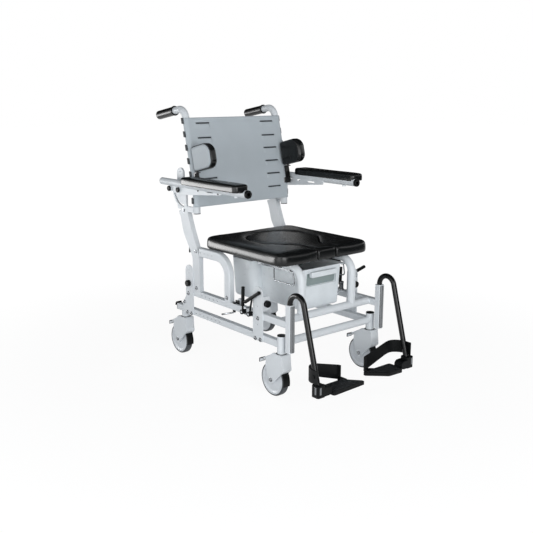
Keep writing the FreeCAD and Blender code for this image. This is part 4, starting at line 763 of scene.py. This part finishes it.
def cane_y(z):
    """The middle of the cane, as a smooth bend between its two straight runs."""
    low = (CANE_KNEE[0] - CANE_FOOT[0]) / (CANE_KNEE[1] - CANE_FOOT[1])
    high = math.tan(CANE_LEAN)
    if z <= CANE_KNEE[1] - CANE_KNEE_REACH:
        return CANE_KNEE[0] + (z - CANE_KNEE[1]) * low
    if z >= CANE_KNEE[1] + CANE_KNEE_REACH:
        return CANE_KNEE[0] + (z - CANE_KNEE[1]) * high
    t = (z - CANE_KNEE[1] + CANE_KNEE_REACH) / (2 * CANE_KNEE_REACH)
    start = CANE_KNEE[0] - CANE_KNEE_REACH * low
    slope = low * t + (high - low) * t * t / 2
    return start + 2 * CANE_KNEE_REACH * slope


def spaced(stops, step):
    """Every stop, and even steps between them."""
    stops = sorted(stops)
    values = []
    for first, second in zip(stops, stops[1:]):
        count = max(1, round((second - first) / step))
        values += [first + (second - first) * i / count for i in range(count)]
    return values + [stops[-1]]


def flap_lift(x, z):
    """How far the cloth stands out under each slit, where a strap passes behind it."""
    if abs(x) < SLIT_INNER or abs(x) > FLAP_END:
        return 0.0
    for slit in SLIT_HEIGHTS:
        below = slit - z
        if -0.01 <= below <= FLAP_DROP:
            across = smooth_step((FLAP_END - abs(x)) / 14.0)
            return FLAP_LIFT * across * (1 - smooth_step(below / FLAP_DROP))
    return 0.0


def cover_offset(x, z):
    """How far the cloth lies behind the line between the canes' fronts."""
    across = 1 - (x / CANE_X) ** 2
    dish = COVER_DISH * across
    ripple = 0.0
    for slit in SLIT_HEIGHTS:
        ripple += math.exp(-((z - slit + 12.0) / 11.0) ** 2)
    near_cane = smooth_step(abs(x) / CANE_X)
    dish += 0.9 * ripple * across * near_cane
    hem = min(z - COVER_BOTTOM, COVER_TOP - z)
    if hem < HEM:
        dish -= 0.7
    elif hem < HEM_SEAM:
        dish += 0.5
    return dish - flap_lift(x, z)


def slit_open(x, z):
    """True in a slit, and in the short cut down from the inner end of each slit on the right side."""
    for slit in SLIT_HEIGHTS:
        if SLIT_INNER - TICK_WIDTH < abs(x) < SLIT_OUTER and slit < z < slit + SLIT_WIDTH:
            return True
        if -SLIT_INNER < x < TICK_WIDTH - SLIT_INNER and slit - TICK_DROP < z < slit + SLIT_WIDTH:
            return True
    return False


def cover_point(kind, sign, value, z):
    """A point of the cover: in the flat between the canes, or by its angle round one of them."""
    if kind == "flat":
        return at(value, cane_y(z) - COVER_RADIUS + cover_offset(value, z), z)
    angle = math.radians(value)
    reach = COVER_RADIUS - cover_offset(CANE_X, z)
    return at(sign * (CANE_X + reach * math.sin(angle)), cane_y(z) - reach * math.cos(angle), z)


def make_back_cover():
    stops = [COVER_BOTTOM, COVER_BOTTOM + HEM, COVER_BOTTOM + HEM_SEAM, COVER_TOP - HEM_SEAM, COVER_TOP - HEM,
             COVER_TOP]
    for slit in SLIT_HEIGHTS:
        stops += [slit, slit + SLIT_WIDTH, slit - FLAP_DROP, slit - TICK_DROP]
    heights = spaced(stops, COVER_STEP)
    stops = [0.0]
    for sign in (-1, 1):
        stops += [sign * x for x in (SLIT_INNER - TICK_WIDTH, SLIT_INNER, SLIT_OUTER, FLAP_END, CANE_X)]
    wrap = [COVER_WRAP * i / WRAP_STEPS for i in range(1, WRAP_STEPS + 1)]
    columns = [("wrap", -1, angle) for angle in reversed(wrap)]
    columns += [("flat", 0, x) for x in spaced(stops, COVER_STEP)]
    columns += [("wrap", 1, angle) for angle in wrap]
    bm = bmesh.new()
    rows = [[bm.verts.new(cover_point(*column, z)) for column in columns] for z in heights]
    for i in range(len(heights) - 1):
        middle_z = (heights[i] + heights[i + 1]) / 2
        for j in range(len(columns) - 1):
            if columns[j][0] == "flat" and columns[j + 1][0] == "flat":
                middle_x = (columns[j][2] + columns[j + 1][2]) / 2
                if slit_open(middle_x, middle_z):
                    continue
            bm.faces.new((rows[i][j], rows[i][j + 1], rows[i + 1][j + 1], rows[i + 1][j]))
    loose = [v for v in bm.verts if not v.link_faces]
    bmesh.ops.delete(bm, geom=loose, context="VERTS")
    cover = from_bmesh("back_cover", bm, MATERIALS["back_fabric"])
    solid = cover.modifiers.new("cloth", "SOLIDIFY")
    solid.thickness = COVER_THICKNESS / 1000
    solid.offset = 0.0
    apply_modifiers(cover)
    finish_soft(cover, "chair")
    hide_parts("back_upholstery")


STRAP_BELOW = 14.0         # the strap behind a slit reaches from below it to above it
STRAP_ABOVE = 10.0
STRAP_GAP = 2.2
STRAP_THICKNESS = 1.2
STRAP_START = 126.0
STRAP_STEP = 3.2
STRAP_STATIONS = 24


def make_slit_shade_straps():
    """Webbing just behind each pair of slits, seen through them: a strap there, and also painted shade so
    that the slits show dark.
    """
    bm = bmesh.new()
    for slit in SLIT_HEIGHTS:
        low, high = slit - STRAP_BELOW, slit + STRAP_ABOVE
        for sign in (-1.0, 1.0):
            rings = []
            for x in [STRAP_START + STRAP_STEP * i for i in range(STRAP_STATIONS)]:
                foot, head = [cane_y(slit + dz) - COVER_RADIUS + cover_offset(x, slit + 5.0) + STRAP_GAP
                              for dz in (-STRAP_BELOW, STRAP_ABOVE)]
                rings.append([at(sign * x, foot, low), at(sign * x, head, high),
                              at(sign * x, head + STRAP_THICKNESS, high),
                              at(sign * x, foot + STRAP_THICKNESS, low)])
            ring_skin(bm, rings)
    place(bm, "slit_shade_webbing", "chair", "webbing", False)


# ---- small parts

def round_bar(name, path, radius, slot, closed=False, sides=12):
    """A rod or cord along a list of points in metres; radius in millimetres."""
    bm = bmesh.new()
    count = len(path)
    rings = []
    side_way = None
    for i, point in enumerate(path):
        before = path[i - 1] if (closed or i > 0) else path[i]
        after = path[(i + 1) % count] if (closed or i < count - 1) else path[i]
        way = (after - before).normalized()
        if side_way is None:
            side_way = way.orthogonal().normalized()
        side_way = (side_way - way * side_way.dot(way)).normalized()
        other = way.cross(side_way)
        rings.append([point + (side_way * math.cos(t) + other * math.sin(t)) * (radius / 1000)
                      for t in [2 * math.pi * k / sides for k in range(sides)]])
    if closed:
        ring_skin(bm, rings + [rings[0]], False, False)
        bmesh.ops.remove_doubles(bm, verts=bm.verts, dist=1e-6)
    else:
        ring_skin(bm, rings)
    bmesh.ops.recalc_face_normals(bm, faces=bm.faces)
    obj = from_bmesh(name, bm, MATERIALS[slot])
    return obj


LENGTHWAYS = (Vector((0, 1, 0)), Vector((0, 0, 1)), Vector((1, 0, 0)))
UPWARDS = (Vector((0, 0, 1)), Vector((1, 0, 0)), Vector((0, 1, 0)))


def outwards(sign):
    """The axes of a body turned about a line across the chair."""
    return Vector((sign, 0, 0)), Vector((0, 1, 0)), Vector((0, 0, 1))


def add_turned(bm, centre, axes, profile, sides=32):
    """Adds a turned body: profile is (radius, distance along the first axis) in millimetres."""
    way, first, second = axes
    made = []
    for k in range(sides):
        angle = math.radians(360.0 * k / sides)
        out = first * math.cos(angle) + second * math.sin(angle)
        made.append([bm.verts.new(centre + (out * r + way * d) / 1000) for r, d in profile])
    for k in range(sides):
        a, b = made[k], made[(k + 1) % sides]
        for i in range(len(profile) - 1):
            bm.faces.new((a[i], a[i + 1], b[i + 1], b[i]))
    bm.faces.new([ring[0] for ring in reversed(made)])
    bm.faces.new([ring[-1] for ring in made])


def add_block(bm, centre, size, bevel=0.6):
    """Adds a block with broken edges; sizes in millimetres."""
    made = bmesh.ops.create_cube(bm, size=1.0)
    verts = made["verts"]
    for v in verts:
        v.co = centre + Vector((v.co.x * size[0], v.co.y * size[1], v.co.z * size[2])) / 1000
    edges = {e for v in verts for e in v.link_edges}
    bmesh.ops.bevel(bm, geom=list(edges), offset=bevel / 1000, segments=2, affect="EDGES", profile=0.6)


def place(bm, name, body, slot, smooth=True, material=None):
    """Makes a piece of a finished bmesh; its own material may differ from that of its slot."""
    bmesh.ops.remove_doubles(bm, verts=bm.verts, dist=1e-6)
    bmesh.ops.recalc_face_normals(bm, faces=bm.faces)
    obj = from_bmesh(name, bm, MATERIALS[material or slot], smooth)
    if smooth:
        obj.data.set_sharp_from_angle(angle=math.radians(40))
    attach(obj, body)


ARM_X = 271.0
ARM_Z = 723.0
ARM_FRONT = 131.0
PLUG_REACH = 4.2
PLUG_PROFILE = [(0.01, 1.2), (6.5, 1.2), (8.5, -0.6), (12.0, -0.8), (14.0, 0.8), (14.6, 3.0), (14.6, 9.0),
                (14.1, 9.8)]


def make_arm_caps():
    """Black moulded plugs in the front ends of the arm tubes, with a dished face."""
    for side, sign in SIDES:
        bm = bmesh.new()
        add_turned(bm, at(sign * ARM_X, ARM_FRONT - PLUG_REACH, ARM_Z), LENGTHWAYS, PLUG_PROFILE)
        place(bm, f"arm_plug_{side}", f"armrest_{side}", "black_plastic")


def islands(mesh):
    """Groups of vertices that hang together, as (low corner, high corner)."""
    bm = bmesh.new()
    bm.from_mesh(mesh)
    bmesh.ops.remove_doubles(bm, verts=bm.verts, dist=1e-5)
    seen = set()
    boxes = []
    for start in bm.verts:
        if start.index in seen:
            continue
        stack = [start]
        seen.add(start.index)
        points = []
        while stack:
            v = stack.pop()
            points.append(v.co.copy())
            for e in v.link_edges:
                other = e.other_vert(v)
                if other.index not in seen:
                    seen.add(other.index)
                    stack.append(other)
        boxes.append(tuple(Vector([pick(p[k] for p in points) for k in range(3)]) for pick in (min, max)))
    bm.free()
    return boxes


def make_bolt_details():
    """A washer under each bolt head, and a black hexagon on its face: painted shade for the hole of a hex
    socket.
    """
    washers = bmesh.new()
    socket_shade_marks = bmesh.new()
    for low, high in islands(nodes["frame_bolts"].data):
        middle = (low + high) / 2
        sign = 1.0 if middle.x > 0 else -1.0
        seat, face = (low.x, high.x) if sign > 0 else (high.x, low.x)
        add_turned(washers, Vector((seat, middle.y, middle.z)), outwards(sign),
                   [(8.2, 0.0), (8.2, 0.7), (7.9, 1.0), (6.6, 1.0)], 24)
        # black hexagon as painted shade of the socket hole
        add_turned(socket_shade_marks, Vector((face, middle.y, middle.z)), outwards(sign),
                   [(3.0, -0.5), (3.0, 0.15), (2.4, 0.2)], 6)
    place(washers, "bolt_washers", "chair", "bright_steel")
    place(socket_shade_marks, "bolt_socket_shades", "chair", "black_plastic", False)


WHEEL_RADIUS = 62.5
RAIL_X = 227.5
PEDAL_TIP_Y = 110.0
PEDAL_PIN_Z = 152.0
FORK_TOP = 166.5
# painted shade: a thin black arc close over the front top of each tyre, where the fork shades the gap
SHADE_ARC_SECTION = [(63.9, -14.9), (65.6, -14.9), (65.6, 14.9), (63.9, 14.9)]
SHADE_ARC_ANGLES = (100.0, 192.0)


def make_caster_details():
    for end in ("front", "rear"):
        line = along(stem_line(end))
        for side, sign in SIDES:
            key = f"{end}_{side}"
            hub = at(sign * RAIL_X, line + 1000 * CASTER_TRAIL, WHEEL_RADIUS)
            bm = bmesh.new()
            # black arc as painted shade of the gap between fork and tyre
            add_turned_strip(bm, hub, SHADE_ARC_SECTION, *SHADE_ARC_ANGLES)
            place(bm, f"caster_shade_arc_{key}", f"caster_{key}", "black_plastic")
            bm = bmesh.new()
            for way in (1.0, -1.0):
                add_turned(bm, hub, outwards(way), [(8.5, 20.2), (8.5, 21.6), (8.0, 22.0), (5.5, 22.0)], 24)
                add_turned(bm, hub, outwards(way), [(6.6, 22.0), (6.6, 24.6), (5.6, 25.4), (0.01, 25.4)], 6)
            place(bm, f"caster_axle_nuts_{key}", f"caster_{key}", "bright_steel")
            bm = bmesh.new()
            add_pedal_tip(bm, sign * RAIL_X, line)
            place(bm, f"pedal_tip_{key}", f"pedal_{key}", "webbing")
            bm = bmesh.new()
            add_turned(bm, at(sign * RAIL_X, line, FORK_TOP), UPWARDS,
                       [(13.0, 0.2), (19.0, 0.2), (19.6, 0.8), (18.2, 1.3), (13.0, 1.3)], 36)
            place(bm, f"caster_seal_{key}", f"caster_{key}", "black_plastic")


def add_turned_strip(bm, hub, section, start, end, steps=28):
    """A strip bent round the wheel: section is (radius, sideways), angles run from the front upwards."""
    rings = []
    for k in range(steps + 1):
        angle = math.radians(start + (end - start) * k / steps)
        rings.append([hub + Vector((x, r * math.cos(angle), r * math.sin(angle))) / 1000 for r, x in section])
    ring_skin(bm, rings)


def add_pedal_tip(bm, x, line):
    """A ribbed dark tread over the end of the pedal."""
    z = PEDAL_PIN_Z
    section = [(PEDAL_TIP_Y - 26.0, z - 22.6), (PEDAL_TIP_Y - 12.0, z - 25.2), (PEDAL_TIP_Y + 0.6, z - 28.4),
               (PEDAL_TIP_Y + 0.8, z - 43.4), (PEDAL_TIP_Y - 3.0, z - 42.6), (PEDAL_TIP_Y - 3.0, z - 31.0),
               (PEDAL_TIP_Y - 13.0, z - 27.2), (PEDAL_TIP_Y - 26.0, z - 24.6)]
    rings = [[at(x + side, line + y, height) for y, height in section] for side in (-12.6, 12.6)]
    ring_skin(bm, rings)
    for i in range(3):
        y = PEDAL_TIP_Y - 22.0 + 7.0 * i
        height = z - 22.6 - 2.4 * i
        add_block(bm, at(x, line + y, height), (21.0, 2.0, 1.6), 0.5)


STUD_ROWS = 9
STUD_COLUMNS = 22
STUD_ROW_PITCH = 6.6
STUD_PITCH = 6.2
FIRST_STUD = (38.0, -212.0)
PLATE_TOP = 78.0
PLATE_OUTER = 168.0
PLATE_FRONT = -213.0
PLATE_REAR = -155.0
PLATE_MARGIN = 5.0
TIP_WIDTH = 12.0
# the tip's and the corner's x, and the y of the square and of the slanted edge
PLATE_SHAPE = {"left": (36.0, 103.0, -150.0, -217.5), "right": (28.0, 76.0, -217.5, -150.0)}


def make_footplate_studs():
    """Small raised grip studs over the top of each footplate."""
    for side, sign in SIDES:
        bm = bmesh.new()
        for row in range(STUD_ROWS):
            y = FIRST_STUD[1] + STUD_ROW_PITCH * row
            for column in range(STUD_COLUMNS):
                x = FIRST_STUD[0] + STUD_PITCH * column + (STUD_PITCH / 2 if row % 2 else 0.0)
                if on_plate(side, x, y):
                    add_turned(bm, at(sign * x, y, PLATE_TOP), UPWARDS,
                               [(1.5, -0.3), (1.3, 0.5), (0.7, 0.9), (0.01, 1.0)], 8)
        place(bm, f"footplate_studs_{side}", f"footplate_{side}", "webbing")


def on_plate(side, x, y):
    """True inside the plan of the footplate, which narrows by one slanted edge."""
    tip, corner, square, slanted = PLATE_SHAPE[side]
    if x < tip + PLATE_MARGIN or x > PLATE_OUTER or y > PLATE_REAR or y < PLATE_FRONT:
        return False
    if x > corner:
        return True
    share = (x - tip) / (corner - tip)
    edge = square + math.copysign(TIP_WIDTH, slanted - square) * (1 - share) + (slanted - square) * share
    return (y > edge + PLATE_MARGIN) if side == "left" else (y < edge - PLATE_MARGIN)


# painted highlights: bright strips standing for reflections on the bracket's rounded edges
HIGHLIGHT_Z = 90.0
FRONT_HIGHLIGHT = (8.0, 1.0, 26.0)
SIDE_HIGHLIGHT = (1.0, 8.0, 26.0)


def make_bracket_highlights():
    """Two bright steel strips down the front corner of each footplate bracket: painted highlights, standing
    for reflections on its glossy rounded edges.
    """
    for side, sign in SIDES:
        low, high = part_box(f"footplate_bracket_{side}")
        front = along(low[1])
        outer = max(abs(low[0]), abs(high[0])) * 1000
        bm = bmesh.new()
        add_block(bm, at(sign * (outer - 11.0), front - 0.2, HIGHLIGHT_Z), FRONT_HIGHLIGHT, 0.4)
        add_block(bm, at(sign * (outer + 0.2), front + 13.0, HIGHLIGHT_Z), SIDE_HIGHLIGHT, 0.4)
        place(bm, f"bracket_highlight_strips_{side}", f"footrest_{side}", "bright_steel")


GUIDE_RADIUS = 10.5
GUIDE_SETBACK = 3.0
GUIDE_ENDS = (186.0, 351.0)


def make_socket_fronts():
    """A steel guide strip down the front of each footrest socket."""
    front = along(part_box("upper_rail_left")[0][1])
    section = arc((0.0, 0.0), GUIDE_RADIUS, 200, 340, 14)
    for side, sign in SIDES:
        bm = bmesh.new()
        ring_skin(bm, [[at(sign * RAIL_X + x, front + GUIDE_SETBACK + y, z) for x, y in section]
                       for z in GUIDE_ENDS])
        place(bm, f"socket_front_{side}", "chair", "bright_steel")


PLATE_FACE_X = 260.0       # outer face of the armrest's slotted plate
PIN_HEAD = 8.0             # how far the heads of its pin and bolt stand out
PIVOT_Y = 586.0
SLOT_BOLT_Y = 650.0
PIVOT_Z = 695.0
SCREW_PLACES = (454.0, 325.0)
SCREW_Z = 704.0


def make_pivot_caps():
    """Domed caps on the armrest's pivot pin and slot bolt, and the screws of its slotted plate."""
    for side, sign in SIDES:
        for name, y, body in (("pivot", PIVOT_Y, "chair"), ("guide", SLOT_BOLT_Y, f"armrest_{side}")):
            bm = bmesh.new()
            add_turned(bm, at(sign * (PLATE_FACE_X + PIN_HEAD), y, PIVOT_Z), outwards(sign),
                       [(10.4, -5.5), (10.4, 0.2), (9.4, 1.2), (6.4, 1.8), (6.0, 0.7), (0.01, 0.6)], 32)
            place(bm, f"{name}_cap_{side}", body, "black_plastic")
        bm = bmesh.new()
        for y in SCREW_PLACES:
            add_turned(bm, at(sign * PLATE_FACE_X, y, SCREW_Z), outwards(sign),
                       [(3.6, -0.6), (3.6, 1.2), (3.0, 1.8), (1.6, 1.9), (0.01, 1.4)], 20)
        place(bm, f"plate_screws_{side}", f"armrest_{side}", "black_plastic")


RAIL_FACE_X = 240.0
BAND_Y = 192.0
POST_X = 222.0
POST_Y = 152.0
ROLLER_X = 219.0
ROLLER_Y = 246.0
ROLLER_Z = 306.5
FORK_ARM_X = 236.0
FORK_ARM_Y = 264.0


def make_lever_details():
    """Fittings on the upper rails beside the two hand levers."""
    for side, sign in SIDES:
        bm = bmesh.new()
        for z in (296.0, 269.0):
            add_block(bm, at(sign * RAIL_X, BAND_Y, z), (26.0, 14.0, 2.0), 0.4)
        add_block(bm, at(sign * (RAIL_FACE_X + 0.2), BAND_Y, 282.5), (0.5, 14.0, 28.0), 0.1)
        place(bm, f"lever_band_{side}", "chair", "bright_steel")
        bm = bmesh.new()
        add_turned(bm, at(sign * POST_X, POST_Y, 295.0), UPWARDS,
                   [(9.0, 0.0), (9.0, 5.0), (6.0, 6.5), (6.0, 26.0), (8.0, 28.0), (8.0, 34.0), (6.5, 35.5),
                    (0.01, 35.5)], 28)
        place(bm, f"stop_post_{side}", "chair", "bright_steel")
        bm = bmesh.new()
        add_turned(bm, at(sign * POST_X, POST_Y, 302.0), UPWARDS, coil_profile(6.6, 1.0, 6), 28)
        place(bm, f"stop_spring_{side}", "chair", "bright_steel")
        bm = bmesh.new()
        roller = at(sign * ROLLER_X, ROLLER_Y, ROLLER_Z)
        add_turned(bm, roller, outwards(1.0),
                   [(4.0, -8.0), (9.4, -8.0), (10.5, -6.8), (10.5, 6.8), (9.4, 8.0), (4.0, 8.0)], 36)
        place(bm, f"guide_roller_{side}", "chair", "grey_plastic")
        bm = bmesh.new()
        for x in (208.8, 229.4):
            add_block(bm, at(sign * x, 252.0, 302.0), (2.0, 24.0, 14.0), 0.6)
        add_turned(bm, roller, outwards(1.0), [(3.4, -13.0), (3.4, 13.0)], 16)
        add_block(bm, at(sign * FORK_ARM_X, FORK_ARM_Y, 281.0), (6.0, 12.0, 40.0), 1.0)
        place(bm, f"guide_fork_{side}", "chair", "black_plastic")
        path = [at(sign * x, y, z) for x, y, z in ((FORK_ARM_X, FORK_ARM_Y, 264.0), (238.0, 269.0, 259.0),
                                                   (241.0, 280.0, 255.5), (244.0, 304.0, 247.5),
                                                   (246.0, 329.0, 240.0))]
        rod = round_bar(f"guide_rod_{side}", path, 3.2, "bright_steel", sides=16)
        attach(rod, "chair")


def coil_profile(radius, wire, turns):
    """The outside of a close-wound spring, as rounded ridges."""
    points = []
    for i in range(turns):
        base = i * 3.2
        points += [(radius, base), (radius + wire, base + 0.8), (radius + wire, base + 1.6),
                   (radius, base + 2.4)]
    return points


HANDLE_SLOPE = 9.7
HANDLE_REACH = 181.5
GRIP_LENGTH = 114.0


def make_grip_collars():
    """Flanges at the inner ends of the push grips."""
    slope = math.radians(HANDLE_SLOPE)
    way = Vector((0, math.cos(slope), -math.sin(slope)))
    up = Vector((0, math.sin(slope), math.cos(slope)))
    end = Vector((0, *CANE_TOP)) + way * HANDLE_REACH
    start = end - way * GRIP_LENGTH
    for side, sign in SIDES:
        bm = bmesh.new()
        add_turned(bm, at(sign * CANE_X, start.y, start.z), (way, Vector((1, 0, 0)), up),
                   [(15.0, -1.5), (18.6, -1.5), (19.4, -0.2), (19.4, 3.0), (18.4, 4.4), (17.2, 4.8)], 36)
        place(bm, f"grip_collar_{side}", "chair", "grip_rubber")


PAN_FRAMES = ((66.0, 103.6), (300.0, 142.2))   # y of each frame, and the pan's half width there
FRAME_TOP = 428.0
FRAME_WIDTH = 24.0
FRAME_HEIGHT = 18.0
FRAME_LINE = 1.4


def make_pan_marks():
    """Small raised guide frames moulded on the sides of the pan."""
    bars = ((0.0, 0.0, FRAME_WIDTH, FRAME_LINE), (0.0, -FRAME_HEIGHT, FRAME_WIDTH, FRAME_LINE),
            (-FRAME_WIDTH / 2, -FRAME_HEIGHT / 2, FRAME_LINE, FRAME_HEIGHT + FRAME_LINE),
            (FRAME_WIDTH / 2, -FRAME_HEIGHT / 2, FRAME_LINE, FRAME_HEIGHT + FRAME_LINE))
    for side, sign in SIDES:
        bm = bmesh.new()
        for y, x in PAN_FRAMES:
            for dy, dz, wide, high in bars:
                add_block(bm, at(sign * (x - 0.2), y + dy, FRAME_TOP + dz), (1.6, wide, high), 0.3)
        place(bm, f"pan_frames_{side}", "pan", "pan_plastic")


RECESS_CORNER = (62.0, 388.0)
RECESS_RADIUS = 10.0
RECESS_HALF = 74.2
RECESS_TOP = 424.2
RECESS_FACES = (46.9, 45.0)


def make_painted_recess_shade():
    """A darker grey-green plate on the floor of the recess under the pan's handle: painted shade of the
    handle over a recess of the pan's own plastic.
    """
    x, z = RECESS_CORNER
    section = arc((-x, z), RECESS_RADIUS, 180, 270, 6) + arc((x, z), RECESS_RADIUS, 270, 360, 6)
    section += [(RECESS_HALF, RECESS_TOP), (-RECESS_HALF, RECESS_TOP)]
    bm = bmesh.new()
    ring_skin(bm, [[at(x, y, z) for x, z in section] for y in RECESS_FACES])
    place(bm, "recess_shade_panel", "pan", "pan_plastic", material="recess_shade_plastic")


make_camera()
make_world()
make_floor()
make_cards()
make_lights()
dress_cad_nodes()
make_seat()
make_arm_pads()
make_lateral_pads()
make_back_cover()
make_slit_shade_straps()
make_arm_caps()
make_bolt_details()
make_caster_details()
make_footplate_studs()
make_bracket_highlights()
make_socket_fronts()
make_pivot_caps()
make_lever_details()
make_grip_collars()
make_pan_marks()
make_painted_recess_shade()

bpy.context.scene.view_settings.view_transform = "Standard"
